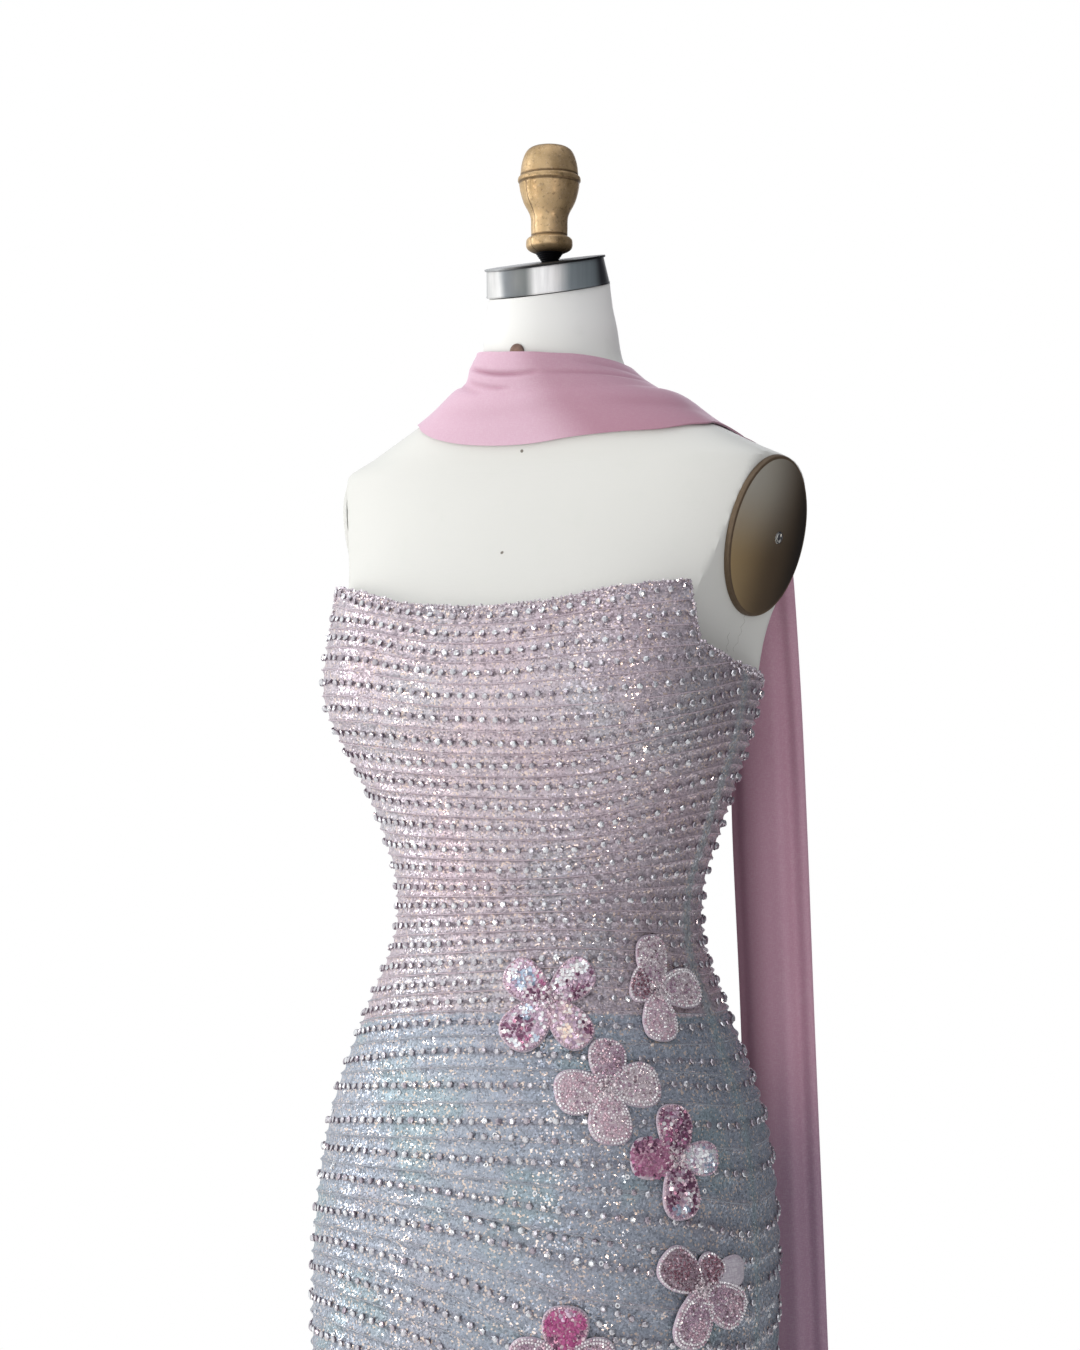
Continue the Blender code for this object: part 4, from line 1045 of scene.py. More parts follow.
def make_beads(name, ends, numbers):
    """Crystal beads on a panel's rows, and on the short rows at the hip."""
    places = []
    for number in numbers:
        line = row_line(number, ends)
        if len(line[0]) >= SHORTEST_LINE:
            places.append(places_along(*line, BEAD_PITCH, rng.uniform(0, BEAD_PITCH)))
    for start, end, *levels in SHORT_ROWS if ends[0] == -ends[1] else ():   # only on the front
        share = np.linspace(0, 1, 12)
        rise = np.interp(share, (0, 0.5, 1), levels) * MM
        if numbers[0] < row_at(0.0, rise[0]) <= numbers[-1]:
            places.append(places_along(np.radians(start + (end - start) * share), rise, BEAD_PITCH, 0.0))
    turns, heights = joined(places)
    heights = heights + rng.normal(0, 0.25 * MM, len(heights))
    keep = ~in_flower(turns, heights, 1.0 * MM)
    turns, heights = turns[keep], heights[keep]
    sizes = BEAD_RADIUS * rng.uniform(0.90, 1.06, len(turns))
    lift = RIDGE_PEAK + BEAD_LIFT
    return strew(name, CRYSTAL, turns, heights, lift, sizes, 0.16, [CRYSTALS, SETTINGS_AND_SHADE], ridged=False)


def make_seeds(name, ends):
    """Small beads beside the corded lines and strewn between the rows."""
    places = []
    for number in range(LAST_ROW):
        line = row_line(number + 0.5, ends)
        if len(line[0]) >= SHORTEST_LINE:
            turns, heights = places_along(*line, SEED_PITCH, rng.uniform(0, SEED_PITCH))
            turns = turns + rng.normal(0, 0.02, len(turns))
            places.append((turns, heights + rng.normal(0, 3.4 * MM, len(turns))))
    turns, heights = joined(places)
    keep = ~in_flower(turns, heights, 0.5 * MM) & (heights < neckline(turns) - 2 * MM)
    keep &= heights > HEM + 6 * MM
    keep &= (heights > SKIRT_TOP) | (rng.random(len(turns)) < SKIRT_SEEDS)
    turns, heights = turns[keep], heights[keep]
    sizes = SEED_RADIUS * rng.uniform(0.7, 1.1, len(turns))
    return strew(name, FLAKE, turns, heights, BEAD_LIFT, sizes, 0.13, [SEEDS])


def make_cords(name, ends):
    lines = []
    for number in range(LAST_ROW):
        turns, heights = row_line(number + 0.5, ends)
        if len(turns) >= SHORTEST_LINE:
            out = normals(gown, turns, heights)
            lines.append((gown(turns, heights) + out * (RIDGE_PEAK * 0.9), out))
    return tubes(name, lines, CORD_RADIUS, CORDS, "beaded_tulle")


def make_neck_edge():
    """A ragged double line of small beads round the top edge."""
    places = []
    for low, high in ((-SIDE_SEAM, SIDE_SEAM), (SIDE_SEAM, 179.4), (-179.4, -SIDE_SEAM)):
        stops = np.radians(np.linspace(low, high, 240))
        for below, pitch, ragged in ((0.4 * MM, 3.1 * MM, 0.9 * MM), (3.4 * MM, 3.6 * MM, 1.3 * MM)):
            turns, heights = places_along(stops, neckline(stops) - below, pitch, 0.0)
            places.append((turns, heights + rng.uniform(-ragged, ragged, len(turns))))
    turns, heights = joined(places)
    sizes = rng.uniform(1.0, 1.5, len(turns)) * MM
    strew("neck_edge_beads", SEED, turns, heights, BEAD_LIFT, sizes, 0.3, [SEEDS], ridged=False)


def make_rings():
    """Ring sequins strewn over the skirt, clear of its side seams."""
    turns = rng.uniform(-math.pi, math.pi, RING_COUNT)
    heights = rng.uniform(0.06, 0.985, RING_COUNT)
    keep = ~in_flower(turns, heights, 3 * MM) & (np.abs(np.abs(np.degrees(turns)) - SIDE_SEAM) > 6)
    turns, heights = turns[keep], heights[keep]
    sizes = np.full(len(turns), RING_RADIUS)
    strew("ring_sequins", RING, turns, heights, 2 * BEAD_LIFT, sizes, 0.05, [RINGS])


def make_gown():
    front, back = fine_columns(FRONT_STOPS), fine_columns(BACK_STOPS)
    for label, columns, flat, area in (
        ("front", mirrored(front[1:]) + front, (0.62, 1.31), 0.66),
        ("back_left", back, (0.33, 1.27), 0.33),
        ("back_right", mirrored(back), (0.33, 1.27), 0.33),
    ):
        panel = make_panel(label, columns)
        ends = columns[0] + SEAM_CLEAR, columns[-1] - SEAM_CLEAR
        sewn = [make_cords("cords_" + label, ends), make_seeds("seed_beads_" + label, ends)]
        sewn.append(make_beads(f"crystals_{label}_upper", ends, range(LOWER_BEADS_FROM)))
        sewn.append(make_beads(f"crystals_{label}_lower", ends, range(LOWER_BEADS_FROM, LAST_ROW)))
    make_neck_edge()
    make_rings()


# --- The dress form's cover ----------------------------------------------------------------------

CHEST_FROM, CHEST_TO, NECK_FROM, NECK_TO = 1.206, 1.395, 1.398, 1.512   # where its rows are finer


def make_form():
    turns = np.radians(np.linspace(-180, 180, 181)[:-1])
    heights = np.concatenate((np.linspace(FORM_BOTTOM, 1.20, 40), np.linspace(CHEST_FROM, CHEST_TO, 48),
                              np.linspace(NECK_FROM, NECK_TO, 44)))
    grid = form(turns[None, :], heights[:, None])
    top = form(turns, np.full(len(turns), NECK_TOP))
    top[:, 2] = NECK_TOP + NECK_SLANT * (top[:, 1] - NECK_AXIS_Y)
    rings = np.concatenate((grid, grid[-1:] * 0.35 + top[None] * 0.65, top[None]))
    # The neck narrows under its cap.
    axis = np.array((0, NECK_AXIS_Y, 0))
    narrowed = 1 - NECK_TAPER * ease((rings[..., 2:] - NECK_TAPER_FROM) / NECK_TAPER_SPAN)
    rings = axis + (rings - axis) * np.concatenate((narrowed, narrowed, np.ones_like(narrowed)), axis=-1)
    faces = [face[::-1] for face in closed_faces(*rings.shape[:2])]
    add_piece("form_cover", rings, faces, [form_finish()], "form_cover", "form_torso", sharp=35)


# --- Flower appliques ----------------------------------------------------------------------------

ORGANZA_MARGIN = 0.86          # share of the way from a petal's middle to its edge
PETAL_SHARES = (0.25, 0.5, 0.7, 0.85, 0.87, 0.94, 1.0)
PETAL_SIDES = 48
PETAL_SEAT = 1.5 * MM
PETAL_STEP = 0.35 * MM         # each petal lies a little higher than the one before it
PETAL_EDGE = 0.5 * MM
PETAL_DOME = 2.4 * MM
PETAL_MIDDLE = 0.58            # share of its length
FILL_WITHIN = (0.97, 0.87, 0.74)   # how far out a fill goes, with no, one and two outlines
OUTLINE_PITCH, SEQUIN_PITCH, SEED_FILL_PITCH = 1.95, 2.35, 2.05    # mm
STREWN_SHARE = 0.13
SPOT_RAGGED = 0.12             # how uneven a spot's edge is, as a share of its reach
GRID_RAGGED = 0.22             # how uneven a fill is, as a share of its pitch
OVER_SEQUINS = 0.15            # this share of the sequins has a small bead by it
HEART_RING = 4.6               # mm, the radius that the heart's crystals lie on
HEART_BEADS, HEART_REACH = 40, 7.5


def petal_points(petal, around, share):
    """Points of a petal in millimetres right of and above the heart, on rings round its middle."""
    middle, way = petal.length * PETAL_MIDDLE, math.radians(petal.towards)
    along = middle + (petal.length * (0.5 - 0.5 * np.cos(around)) - middle) * share
    across = petal_half_width(petal, around) * share
    return along * math.cos(way) - across * math.sin(way), along * math.sin(way) + across * math.cos(way)


def petal_lift(number, share):
    dome = PETAL_DOME * (1 - np.asarray(share) ** 2) ** 0.7
    return PETAL_SEAT + PETAL_STEP * number + PETAL_EDGE + dome


def on_flower(flower, right, above, lift):
    """Points over the gown from places in a flower's own plane, with the directions out there."""
    turn = math.radians(flower.turn) + (right + flower.right) * MM / around_per_radian(flower)
    height = flower.height + (above + flower.above) * MM
    out = normals(gown, turn, height)
    return gown(turn, height) + out * np.asarray(lift)[..., None], out


def flower_slot(number):
    return "flower_sequins" if number in SEQUIN_FLOWERS else "flower_beads"


def make_petals(flower, number, organza):
    """The petals' domed cloth: each is a closed solid with a flat underside."""
    around = circle(PETAL_SIDES)
    points, faces, tones, start = [], [], [], 0
    dull, pale = tint("988A9B"), tint("CDBACB")
    for step, petal in enumerate(flower.petals):
        inside = tint(FILLS[petal.fill].tone)
        # The organza margin is paler on each petal's left-facing side: painted light from the window at the
        # left.
        lit_from_left = np.clip(-np.cos(around + math.pi - math.radians(petal.towards)), 0, 1)
        edge = [tuple(a + (b - a) * share for a, b in zip(dull, pale)) for share in lit_from_left**1.5]
        heart = petal_points(petal, np.zeros(1), 0.0)
        points.append(on_flower(flower, *heart, np.array([float(petal_lift(step, 0.0))]))[0])
        tones.append([inside])
        rings = [(share, float(petal_lift(step, share))) for share in PETAL_SHARES]
        for share, lift in rings + [(1.0, PETAL_SEAT + PETAL_STEP * step)]:
            ruffle = 0.25 * MM * np.sin(9 * around + step) * share**3
            points.append(on_flower(flower, *petal_points(petal, around, share), lift + ruffle)[0])
            tones.append([inside] * PETAL_SIDES if share < ORGANZA_MARGIN else edge)
        first = start + 1
        faces += [(start, first + k, first + (k + 1) % PETAL_SIDES) for k in range(PETAL_SIDES)]
        faces += grid_faces(len(rings) + 1, PETAL_SIDES, first, wrap=True)
        last = first + len(rings) * PETAL_SIDES
        faces.append(tuple(range(last + PETAL_SIDES - 1, last - 1, -1)))
        start = last + PETAL_SIDES
    piece = add_piece(f"petals_{number}", np.concatenate(points), faces, [organza], flower_slot(number),
                      f"flower_{number}", sharp=50, turn_out=True)
    colours = piece.data.attributes.new("tone", "FLOAT_COLOR", "POINT")
    colours.data.foreach_set("color", np.concatenate(tones).astype(np.float32).ravel())


def fill_slots(petal, right, above):
    """Which of a fill's beads or sequins lies at each place."""
    fill = FILLS[petal.fill]
    along, across = along_petal(petal, right, above)
    slots = np.full(len(right), SLOT_OF[fill.cover])
    near = np.ones(len(right))
    for chip, far, aside, reach in fill.spots:
        away = np.hypot(along - far * petal.length, across - aside * petal.half_width) / reach
        away = away + rng.normal(0, SPOT_RAGGED, len(right))
        slots = np.where(away < near, SLOT_OF[chip], slots)
        near = np.minimum(near, away)
    for name in fill.strewn:
        slots = np.where(rng.random(len(right)) < STREWN_SHARE, SLOT_OF[name], slots)
    return slots


def fill_places(petal, pitch, within):
    """Uneven places over a petal, and how far each is from its middle to its edge."""
    reach = int(petal.length / pitch) + 2
    steps = range(-reach, reach)
    grid = np.array([(u + 0.5 * (v % 2), v * 0.87) for u in steps for v in steps])
    spots = grid * pitch + rng.normal(0, GRID_RAGGED * pitch, grid.shape)
    middle = np.array(petal_points(petal, np.zeros(1), 0.0))
    edge = np.array(petal_points(petal, np.linspace(0, 2 * np.pi, 90), 1.0)) - middle
    angle = np.arctan2(edge[1], edge[0])
    order = np.argsort(angle)
    limit = np.interp(np.arctan2(spots[:, 1], spots[:, 0]), angle[order], np.hypot(*edge)[order],
                      period=2 * np.pi)
    share = np.hypot(spots[:, 0], spots[:, 1]) / limit
    inner = share < within
    return *(spots[inner].T + middle), share[inner]


def make_trims(flower, number, materials):
    """Beads along the petals' outlines, the beads or sequins in them, and crystals in the heart."""
    parts = []

    def add(shape, right, above, lift, sizes, slots, tilt):
        count = len(right)
        places, out = on_flower(flower, right, above, lift)
        sizes, slots = (np.broadcast_to(values, count) for values in (sizes, slots))
        parts.append((shape, places, frames_on(out, tilt), sizes, slots))

    for step, petal in enumerate(flower.petals):
        fill = FILLS[petal.fill]
        sequins = "chip" in fill.cover
        for outline in range(petal.outlines):
            share = 0.90 - 0.14 * outline
            right, above = petal_points(petal, np.linspace(0, 2 * np.pi, 200), share)
            far = np.concatenate(([0.0], np.cumsum(np.hypot(np.diff(right), np.diff(above)))))
            stops = np.arange(0, far[-1], OUTLINE_PITCH)
            right, above, count = np.interp(stops, far, right), np.interp(stops, far, above), len(stops)
            edging = ("rose_seed", "mauve_seed") if sequins else ("white_seed", "rose_seed")
            tones = rng.choice([SLOT_OF[name] for name in edging], count, p=(0.75, 0.25))
            add(SEED, right, above, petal_lift(step, np.full(count, share)) + 0.25 * MM,
                rng.uniform(0.85, 1.1, count) * MM, tones, 0.3)
        if not fill.cover:
            continue
        right, above, share = fill_places(petal, SEQUIN_PITCH if sequins else SEED_FILL_PITCH,
                                          FILL_WITHIN[petal.outlines])
        count = len(right)
        slots = fill_slots(petal, right, above)
        lift = petal_lift(step, share)
        if sequins:
            add(SEQUIN, right, above, lift + 0.35 * MM, rng.uniform(1.1, 1.6, count) * MM, slots, 0.30)
            strewn = rng.random(count) < OVER_SEQUINS
            add(SEED, right[strewn] + 1.2, above[strewn] + 0.7, lift[strewn] + 0.5 * MM, 0.75 * MM,
                SLOT_OF["rose_seed"], 0.3)
        else:
            add(SEED, right, above, lift, rng.uniform(0.8, 1.15, count) * MM, slots, 0.40)
    angles = np.radians((20, 95, 160, 235, 300))
    top = float(petal_lift(len(flower.petals), 0.75))
    heart = SLOT_OF["beige_seed"]
    add(CRYSTAL, HEART_RING * np.cos(angles), HEART_RING * np.sin(angles), np.full(5, top), 1.8 * MM,
        heart, 0.2)
    ring = rng.uniform(0, 2 * np.pi, HEART_BEADS)
    spread = rng.uniform(0.5, HEART_REACH, HEART_BEADS)
    add(SEED, spread * np.cos(ring), spread * np.sin(ring), np.full(HEART_BEADS, top - 0.4 * MM), 0.9 * MM,
        heart, 0.3)
    gather(f"flower_beads_{number}", parts, materials, flower_slot(number))


def make_flowers():
    organza = organza_finish()
    materials = [chip_finish(name, *look) for name, look in CHIPS.items()]
    for number, flower in enumerate(FLOWERS, start=1):
        make_petals(flower, number, organza)
        make_trims(flower, number, materials)


# --- The scarf -----------------------------------------------------------------------------------

# Height, and the tail's dark and light tone there. It is darker than the front stretch and darkest low
# down: the scarf's own colour with painted shade in it.
TAIL_TONES = ((0.86, "94758A", "9F7F95"), (1.0, "BE90A4", "CA9DB1"), (1.2, "B98CA0", "C396AA"))


def scarf_pressed(turn, share):
    """How deep the creases press the front stretch in, in millimetres."""
    pressed = np.zeros(np.broadcast(turn, share).shape)
    for level, start, end, depth, breadth, slope in SCARF_CREASES:
        away = (np.degrees(turn) - (start + end) / 2) / ((end - start) / 2)
        along = np.clip(1 - np.abs(away) ** 3, 0, 1)
        pressed = pressed + depth * along * bell((share - level - slope * away) / breadth)
    return pressed


def scarf_point(turn, share, out):
    """Points of the front stretch, at a share of its height, and this far out from its inside."""
    turn, share = paired(turn, share)
    row = table_at(SCARF_FRONT, np.degrees(turn))
    bottom, top, low, crease, roll, fullness = (row[..., k] for k in range(6))
    full = fullness * np.sin(np.pi * np.clip(share / SCARF_CREASE, 0, 1) ** SCARF_SWAG)
    lower = low + (crease - low) * share / SCARF_CREASE + full
    up = (share - SCARF_CREASE) / (1 - SCARF_CREASE)
    rise = ease(up / SCARF_ROLL_SHARE) * (1 - SCARF_ROLL_BACK * ease((up - 0.6) / 0.4))
    gap = np.where(share < SCARF_CREASE, lower, crease + (roll - crease) * rise)
    gap = np.maximum(gap - scarf_pressed(turn, share), 0.5)
    height = bottom + (top - bottom) * share
    return form(turn, height) + normals(form, turn, height) * (gap * MM + out)[..., None]


def make_scarf_front():
    turns = np.radians(np.linspace(-SCARF_END, SCARF_END, 180))[None, :]
    shares = np.linspace(1, 0, 64)[:, None]
    outer, inner = (scarf_point(turns, shares, out) for out in (SCARF_CLOTH, 0.0))
    chiffon = chiffon_finish("chiffon_front", ((1.0, "D0A9BD", "DDBACD"),), 0.75, "833953")
    piece, picked = thin_shell("scarf_neck", outer, inner, 1, chiffon, "chiffon", "scarf_front", True)
    degrees = np.degrees(turns)
    # Painted shade: past the centre front, less so along its top, and deeper in its creases; at its ends it
    # takes the tails' colour.
    tone = SCARF_SHADE * (1 - 0.45 * shares) * ease((degrees + 4 - 6 * (1 - shares)) / 24)
    at_end = ease((np.abs(degrees) - 84) / 30)
    tone = tone * (1 - at_end) + SCARF_END_TONE * at_end + 0.11 * scarf_pressed(turns, shares)
    point_values(piece, "shade", np.minimum(tone, 1), picked)


def tail_rows(side):
    """The tail's edges from its upper end down, and the depth of its folds."""
    table = np.array(TAIL_ROWS)
    steps = np.arange(TAIL_START) / TAIL_START
    lift = TAIL_LIFT * np.sin(np.pi * steps)[:, None]
    rows = hermite(np.arange(len(table)), lambda k: table[k], np.linspace(0, len(table) - 1, 112))
    end = np.full(1, side * math.radians(SCARF_END))
    edges = []
    for share, k in ((1, 0), (0, 3)):
        top = scarf_point(end, np.full(1, float(share)), SCARF_CLOTH / 2)[0]
        below = rows[:, k : k + 3] * MM * (side, 1, 1)
        edges.append(np.concatenate((top + (below[0] - top) * steps[:, None] + lift, below)))
    return *edges, np.concatenate((table[0, 6] * steps, rows[:, 6]))


def make_tail(word, side, chiffon):
    nears, fars, folds = tail_rows(side)
    shares = np.linspace(0, 1, 35)[None, :]
    down = unit(np.gradient((nears + fars) / 2, axis=0))
    out = unit(np.cross(fars - nears, down)) * side
    out[out[:, 1] < 0] *= -1
    rows = np.linspace(0, 1, len(nears))[:, None]
    # The folds drift and fade unevenly on their way down.
    bend = 0.05 * np.sin(2 * np.pi * shares) + 0.035 * np.sin(5.0 * rows + side)
    wave = np.sin(2 * np.pi * TAIL_FOLDS * (shares + bend) + TAIL_FOLD_START)
    soft = TAIL_SOFTNESS * (0.62 + 0.38 * np.sin(2.2 * np.pi * shares + 2.4 * rows + side))
    cloth = nears[:, None, :] + (fars - nears)[:, None, :] * shares[..., None]
    cloth = cloth + out[:, None, :] * (folds[:, None] * MM * wave * soft)[..., None]
    # It starts in the shape of the front stretch's end.
    end = np.full(shares.size, side * math.radians(SCARF_END))
    bulge = scarf_point(end, 1 - shares[0], SCARF_CLOTH / 2) - cloth[0]
    fading = 1 - ease(np.arange(TAIL_START) / TAIL_START)
    cloth[:TAIL_START] += bulge[None] * fading[:, None, None]
    cloth[0] += down[0] * SEAM_GAP
    half = out[:, None, :] * SCARF_CLOTH / 2
    piece, picked = thin_shell("scarf_fall_" + word, cloth + half, cloth - half, 1, chiffon, "chiffon",
                               "scarf_tail_" + word, turn_out=True)
    # Painted shade by the gown, deeper low down.
    by_gown = ease((rows - 0.10) / 0.25) * (1 - ease((shares - 0.05) / 0.55))
    point_values(piece, "shade", (0.38 + 0.35 * ease((rows - 0.42) / 0.15)) * by_gown, picked)


def make_scarf():
    make_scarf_front()
    chiffon = chiffon_finish("chiffon_tail", TAIL_TONES, 0.45, "5A3848")
    make_tail("left", 1, chiffon)
    make_tail("right", -1, chiffon)


# --- Fittings of the form ------------------------------------------------------------------------

# Turns and heights along each crack.
FORM_CRACKS = (((92.0, 1.293), (92.0, 1.275), (91.0, 1.266)), ((88.0, 1.279), (89.0, 1.266)))

# Heights and radii in millimetres.
CAP = ((0.30, 43.2), (0.30, 44.2), (1.2, 44.4), (2.0, 44.0), (10.0, 43.0), (18.4, 42.0), (19.4, 41.7),
       (19.8, 41.0), (19.8, 39.6), (19.2, 39.0), (19.2, 20.0), (19.3, 8.8), (19.7, 8.4))
CAP_LIP = ((19.0, 42.2), (18.9, 43.0), (19.5, 43.3), (20.4, 43.2), (20.5, 42.2))
CAP_TILT = math.atan(NECK_SLANT)
BOLT_SEAT = NECK_TOP + 20.6 * MM
BOLT_THREADS = 5
# How far out and how far in from the edge, in millimetres.
PLATE = ((0.0, 0.0), (0.2, 0.0), (1.0, 0.15), (2.4, 0.45), (3.2, 0.9), (3.6, 2.6), (4.3, 9.0), (5.0, 20.0),
         (5.4, 33.0))
PLATE_WIDE, PLATE_TALL = 45.0, 56.0
PLATE_RIM = 5                      # this many of its bands, and its back, are its rim
# How far out, and radii in millimetres.
SCREW = ((-0.4, 4.2), (0.0, 4.3), (0.25, 4.1), (0.3, 3.4), (0.8, 3.2), (1.1, 2.6), (1.2, 1.6), (1.2, 0.9))
SCREW_SLOT = 0.55                  # mm, its depth and half width
SCREW_HEAD = 3.3
STUD = ((0.0, 5.7), (0.5, 5.7), (1.0, 5.3), (1.4, 4.4), (1.6, 3.0), (1.7, 1.4))
STUD_HEIGHT = 1.4745


def lathe(name, rows, centre, material, slot, node=None, sides=96, tilt=0.0, sharp=30):
    """A turned solid from heights and radii in millimetres, closed at both ends."""
    rows = np.array(rows) * MM
    x, y = rows[:, 1:] * np.cos(circle(sides)), rows[:, 1:] * np.sin(circle(sides))
    z = np.broadcast_to(rows[:, :1], x.shape)
    lean_y, lean_z = y * math.cos(tilt) - z * math.sin(tilt), y * math.sin(tilt) + z * math.cos(tilt)
    points = stack(x, lean_y, lean_z) + np.array(centre)
    faces = closed_faces(len(rows), sides)
    add_piece(name, points, faces, [material], slot, node, sharp=sharp, turn_out=True)


def disc(name, centre, axes, rings, sides, materials, slot, node, indices=None, sharp=30):
    """A solid of rings on a face: each is how far out it is and its half width and height in mm."""
    back, upward, facing = axes
    cosines, sines = np.cos(circle(sides))[:, None], np.sin(circle(sides))[:, None]
    points = [
        centre + (facing * np.reshape(out, (-1, 1)) + back * wide * cosines + upward * tall * sines) * MM
        for out, wide, tall in rings
    ]
    add_piece(name, np.concatenate(points), closed_faces(len(rings), sides), materials, slot, node,
              indices=indices, sharp=sharp, turn_out=True)


def make_finial():
    brass = aged_finish("old_brass", "4F3B25", "937850", "C9AC82")
    stops, widths = np.array(FINIAL).T
    heights = np.linspace(0, stops[-1], 115)
    smooth = hermite(stops, lambda k: widths[k], heights)
    beaded = np.abs(heights - FINIAL_BEAD) < FINIAL_BEAD_REACH
    radii = np.where(beaded, np.interp(heights, stops, widths), smooth)
    for height, depth, breadth in FINIAL_GROOVES:
        radii = radii - depth * bell((heights - height) / breadth)
    rows = np.stack((heights, radii), axis=1)
    lathe("finial_turned", rows, (0, FINIAL_Y, FINIAL_BASE), brass, "aged_brass", "finial", 80, sharp=40)


def make_cap_and_bolt():
    centre = (0, NECK_AXIS_Y, NECK_TOP)
    lathe("cap_turned", CAP, centre, cap_finish(), "brushed_steel", "neck_cap", 128, CAP_TILT)
    black = plain_finish("black_oxide", "17171A", "34343A", 300, 0.05 * MM, Metallic=0.9, Roughness=0.38)
    shares = np.linspace(0, 1, BOLT_THREADS * 4 + 1)
    thread = np.array([0.35 if k % 4 in (1, 2) else -0.35 for k in range(len(shares))])
    heights = shares * ((FINIAL_BASE - BOLT_SEAT) / MM - 0.3)
    rows = np.stack((heights, 5.0 + 4.6 * shares + thread), axis=1)
    lathe("bolt_threaded", rows, (0, FINIAL_Y, BOLT_SEAT), black, "black_steel", "neck_bolt", 48)
    shaded_lip = Finish("lip_painted_shade", "4A4B4E", Metallic=0.5, Roughness=0.4)
    # Painted light and shade: pale on the window's side, near black on the other.
    shaded_lip.set("Base Color", shaded_lip.mix(shaded_lip.steps(shaded_lip.axis("X"), -0.025, 0.012), "9B9D9F", "1B1B1E"))
    lathe("cap_lip", CAP_LIP, centre, shaded_lip.material, "black_steel", tilt=CAP_TILT)


def bronze_finish():
    """Tarnished bronze with painted light: pale where it faces the window, dark towards the back, and a
    painted reflection high at the front.
    """
    f = Finish("bronze_plate", "7D6B50", Metallic=0.4, Roughness=0.4)
    back = f.axis("Y")
    base = f.mix(f.steps(back, -0.028, 0.022), "B0976F", "645440")
    base = f.mix(f.steps(back, 0.015, 0.058), base, "241F19")
    # A painted reflection, high up towards the front.
    upper = f.times(f.steps(f.height(), 1.325, 1.385), f.steps(back, 0.045, -0.02))
    f.set("Base Color", f.mix(f.times(upper, 0.85), base, "C2C1B8"))
    f.bump(f.noise(600, 2, (1, 1, 0.2)), 0.03 * MM, 0.5)
    return f.material


def make_plates():
    """Domed oval plates with a thin rim, each with a slotted screw on a thin washer."""
    bronze = bronze_finish()
    rims = (plain_finish("bronze_rim", "5C4D3C", "75634F", 300, Metallic=0.4, Roughness=0.5),
            plain_finish("painted_rim", "D2D3CF", "DDDEDA", 300, Roughness=0.5))
    steel = brushed_finish("screw_steel", "8E8C86", "CFCFCB", (6, 6, 6))
    plate = [(out, PLATE_WIDE - inset, PLATE_TALL - inset) for out, inset in PLATE]
    slots = [int(band < PLATE_RIM) for band in range(len(PLATE) - 1) for _ in range(96)] + [1, 0]
    across = np.cos(circle(48))
    screw = []
    for out, radius in SCREW:
        cut = (np.abs(radius * across) < SCREW_SLOT) & (radius < SCREW_HEAD)
        screw.append((out - SCREW_SLOT * cut, radius, radius))
    for word, side, rim in (("left", 1, rims[0]), ("right", -1, rims[1])):
        facing = PLATE_NORMAL * (side, 1, 1)
        back = unit(np.cross((0, 0, 1), facing)) * side
        upward = unit(np.cross(facing, back))
        axes = back, upward * np.sign(upward[2]), facing
        centre = PLATE_CENTRE * (side, 1, 1) + facing * SEAM_GAP
        node = "arm_plate_" + word
        disc("plate_" + word, centre, axes, plate, 96, [bronze, rim], "bronze", node, slots, 40)
        seat = centre + back * 9.0 * MM + facing * (5.7 * MM)
        disc("screw_" + word, seat, axes, screw, 48, [steel], "brushed_steel", "plate_screw_" + word)


def make_stud():
    bronze = plain_finish("stud_bronze", "5A4640", "8A7268", 400, 0.04 * MM, Metallic=0.8, Roughness=0.4)
    out = normals(form, np.zeros(1), np.full(1, STUD_HEIGHT))[0]
    seat = form(np.zeros(1), np.full(1, STUD_HEIGHT))[0] + out * SEAM_GAP
    axes = np.array((1.0, 0, 0)), np.cross(out, (1.0, 0, 0)), out
    rings = [(rise, radius, radius) for rise, radius in STUD]
    disc("stud_domed", seat, axes, rings, 40, [bronze], "bronze", "neck_stud", sharp=40)


def make_cracks():
    """Hair cracks in the form's paint, from the left arm plate down, where the photo shows them."""
    lines = []
    for path in FORM_CRACKS:
        turns, levels = np.array(path).T
        heights = np.linspace(levels[0], levels[-1], 14)
        turns = np.radians(np.interp(-heights, -levels, turns) + 0.5 * np.sin(heights * 900))
        out = normals(form, turns, heights)
        lines.append((form(turns, heights) - out * (0.12 * MM), out))
    dark = plain_finish("crack", "8E8C84", "A5A39B", 200, Roughness=0.8)
    tubes("form_cracks", lines, 0.22 * MM, dark, "form_cover")


def dress_nodes():
    """Finishes for the solids whose own shape is right."""
    zip_metal = brushed_finish("zip_metal", "9A989C", "DAD8DC", (6, 6, 1))
    pole = brushed_finish("pole_steel", "7F8488", "C4C8CA", (30, 30, 1))
    iron = plain_finish("stand_iron", "1B1B1D", "343437", 60, 0.3 * MM, Metallic=0.3, Roughness=0.55)
    for name, material in (("zip_slider", zip_metal), ("zip_pull", zip_metal), ("stand_pole", pole),
                           ("stand_socket", iron), ("stand_base", iron)):
        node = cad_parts[name]
        node.data.materials.clear()
        node.data.materials.append(material)


make_form()
make_gown()
make_flowers()
make_scarf()
make_finial()
make_cap_and_bolt()
make_plates()
make_stud()
make_cracks()
dress_nodes()

# --- Light, floor and backdrop -------------------------------------------------------------------

FLOOR_RADIUS = 2.1
WHITE = (1, 1, 1)
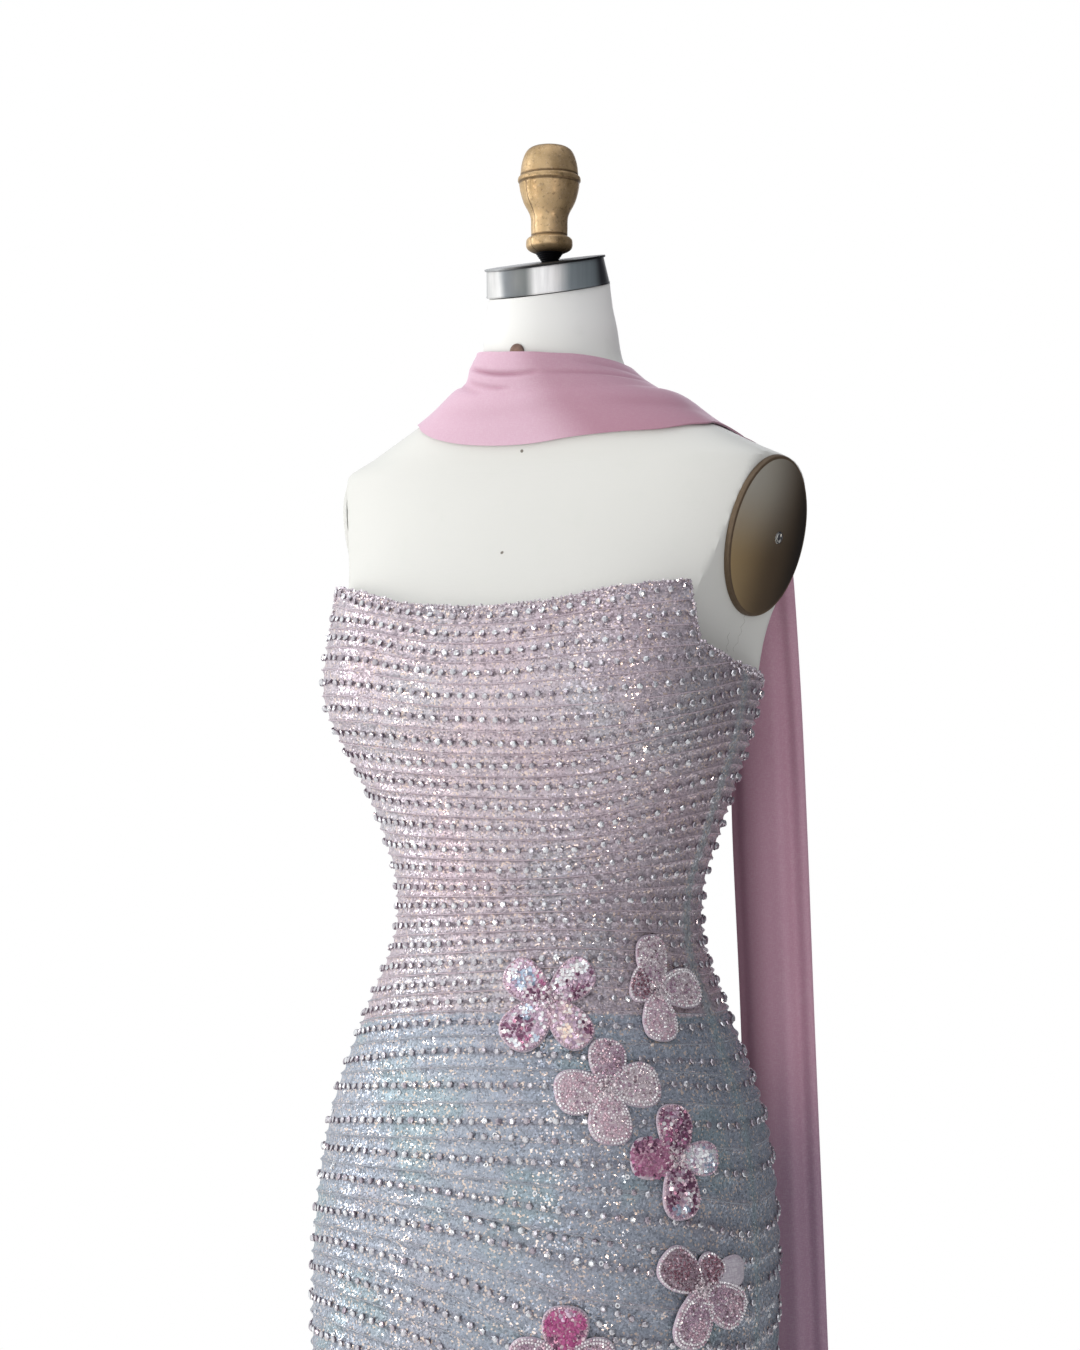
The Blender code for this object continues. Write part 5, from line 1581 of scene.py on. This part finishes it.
# Name, place, the height it aims at, size, power in watts and colour.
LIGHTS = (
    ("window", (-2.4, -1.0, 1.7), 1.1, (0.5, 2.4), 23, WHITE),
    ("front", (1.1, -2.8, 1.9), 1.1, (0.9, 2.2), 8.2, WHITE),
    ("lamp", (2.15, -1.75, 1.15), 1.15, (0.12, 0.5), 5.0, (1.0, 0.87, 0.74)),
    ("lamp_right", (-1.4, -2.34, 1.15), 1.15, (0.09, 1.5), 9.5, (1.0, 0.85, 0.74)),
    ("top", (0, -0.2, 3.4), 1.0, (2.2, 2.2), 12, WHITE),
    ("back", (-1.2, 2.8, 2.0), 1.1, (2.0, 2.0), 14, WHITE),
)
# The room's grey, from the bright side (0) to the dark corner behind the gown's left (1).
WORLD_TONES = ((0.16, 1.0), (0.42, 0.62), (0.62, 0.30), (0.76, 0.14), (0.90, 0.06))
DARK_CORNER = (0.84, 0.54, 0.0)
ROOM_MEAN = (0.68, 0.68, 0.69, 1)
ROOM_SHARE = 0.55              # soft light takes this much from the ramp and the rest is even


def add_light(name, place, aim, size, power, colour):
    data = bpy.data.lights.new(name, "AREA")
    data.shape, data.energy, data.color = "RECTANGLE", power, colour
    data.size, data.size_y = size
    light = bpy.data.objects.new(name, data)
    light.location = place
    x, y, z = -place[0], -place[1], aim - place[2]
    light.rotation_euler = (math.atan2(math.hypot(x, y), -z), 0, math.atan2(y, x) - math.pi / 2)
    bpy.context.scene.collection.objects.link(light)


def make_stage():
    sides = 96
    points = [
        (FLOOR_RADIUS * share * math.cos(turn), FLOOR_RADIUS * share * math.sin(turn), 0)
        for share in (1.0, 0.6, 0.3) for turn in circle(sides)
    ]
    mesh = bpy.data.meshes.new("floor")
    mesh.from_pydata(points, [], grid_faces(3, sides, wrap=True) + [tuple(range(2 * sides, 3 * sides))])
    f = Finish("floor", "F2F1EF", Roughness=0.8)
    f.set("Base Color", f.mix(f.noise(4, 2), "F0EFED", "F5F4F2"))
    mesh.materials.append(f.material)
    floor = bpy.data.objects.new("floor", mesh)
    bpy.context.scene.collection.objects.link(floor)
    for light in LIGHTS:
        add_light(*light)


def make_world():
    """Soft room light: brighter at the gown's right, where the photograph's window is."""
    world = bpy.data.worlds.new("world")
    bpy.context.scene.world = world
    world.use_nodes = True
    n = Nodes(world.node_tree)
    towards = n.vector("DOT_PRODUCT", n.node("TexCoord").outputs["Generated"], DARK_CORNER)["Value"]
    share = n.node("MapRange", {"Value": towards, "From Min": -1.0}).outputs["Result"]
    ramp = n.node("ValToRGB", {"Fac": share})
    stops = ramp.color_ramp.elements
    stops[0].position, stops[1].position = WORLD_TONES[0][0], WORLD_TONES[-1][0]
    for place, _ in WORLD_TONES[1:-1]:
        stops.new(place)
    for stop, (_, grey) in zip(stops, WORLD_TONES):
        stop.color = (grey, grey * 1.02, grey * (1.25 - 0.25 * grey), 1)
    rays = n.node("LightPath").outputs
    taken = n.node("MapRange", {"Value": rays["Is Glossy Ray"], "To Min": ROOM_SHARE}).outputs["Result"]
    room = n.mix(taken, ROOM_MEAN, ramp.outputs["Color"])
    n.put(n.mix(rays["Is Camera Ray"], room, "FFFFFF"), n.tree.nodes["Background"].inputs["Color"])


make_stage()
make_world()
bpy.context.scene.view_settings.view_transform = "Standard"
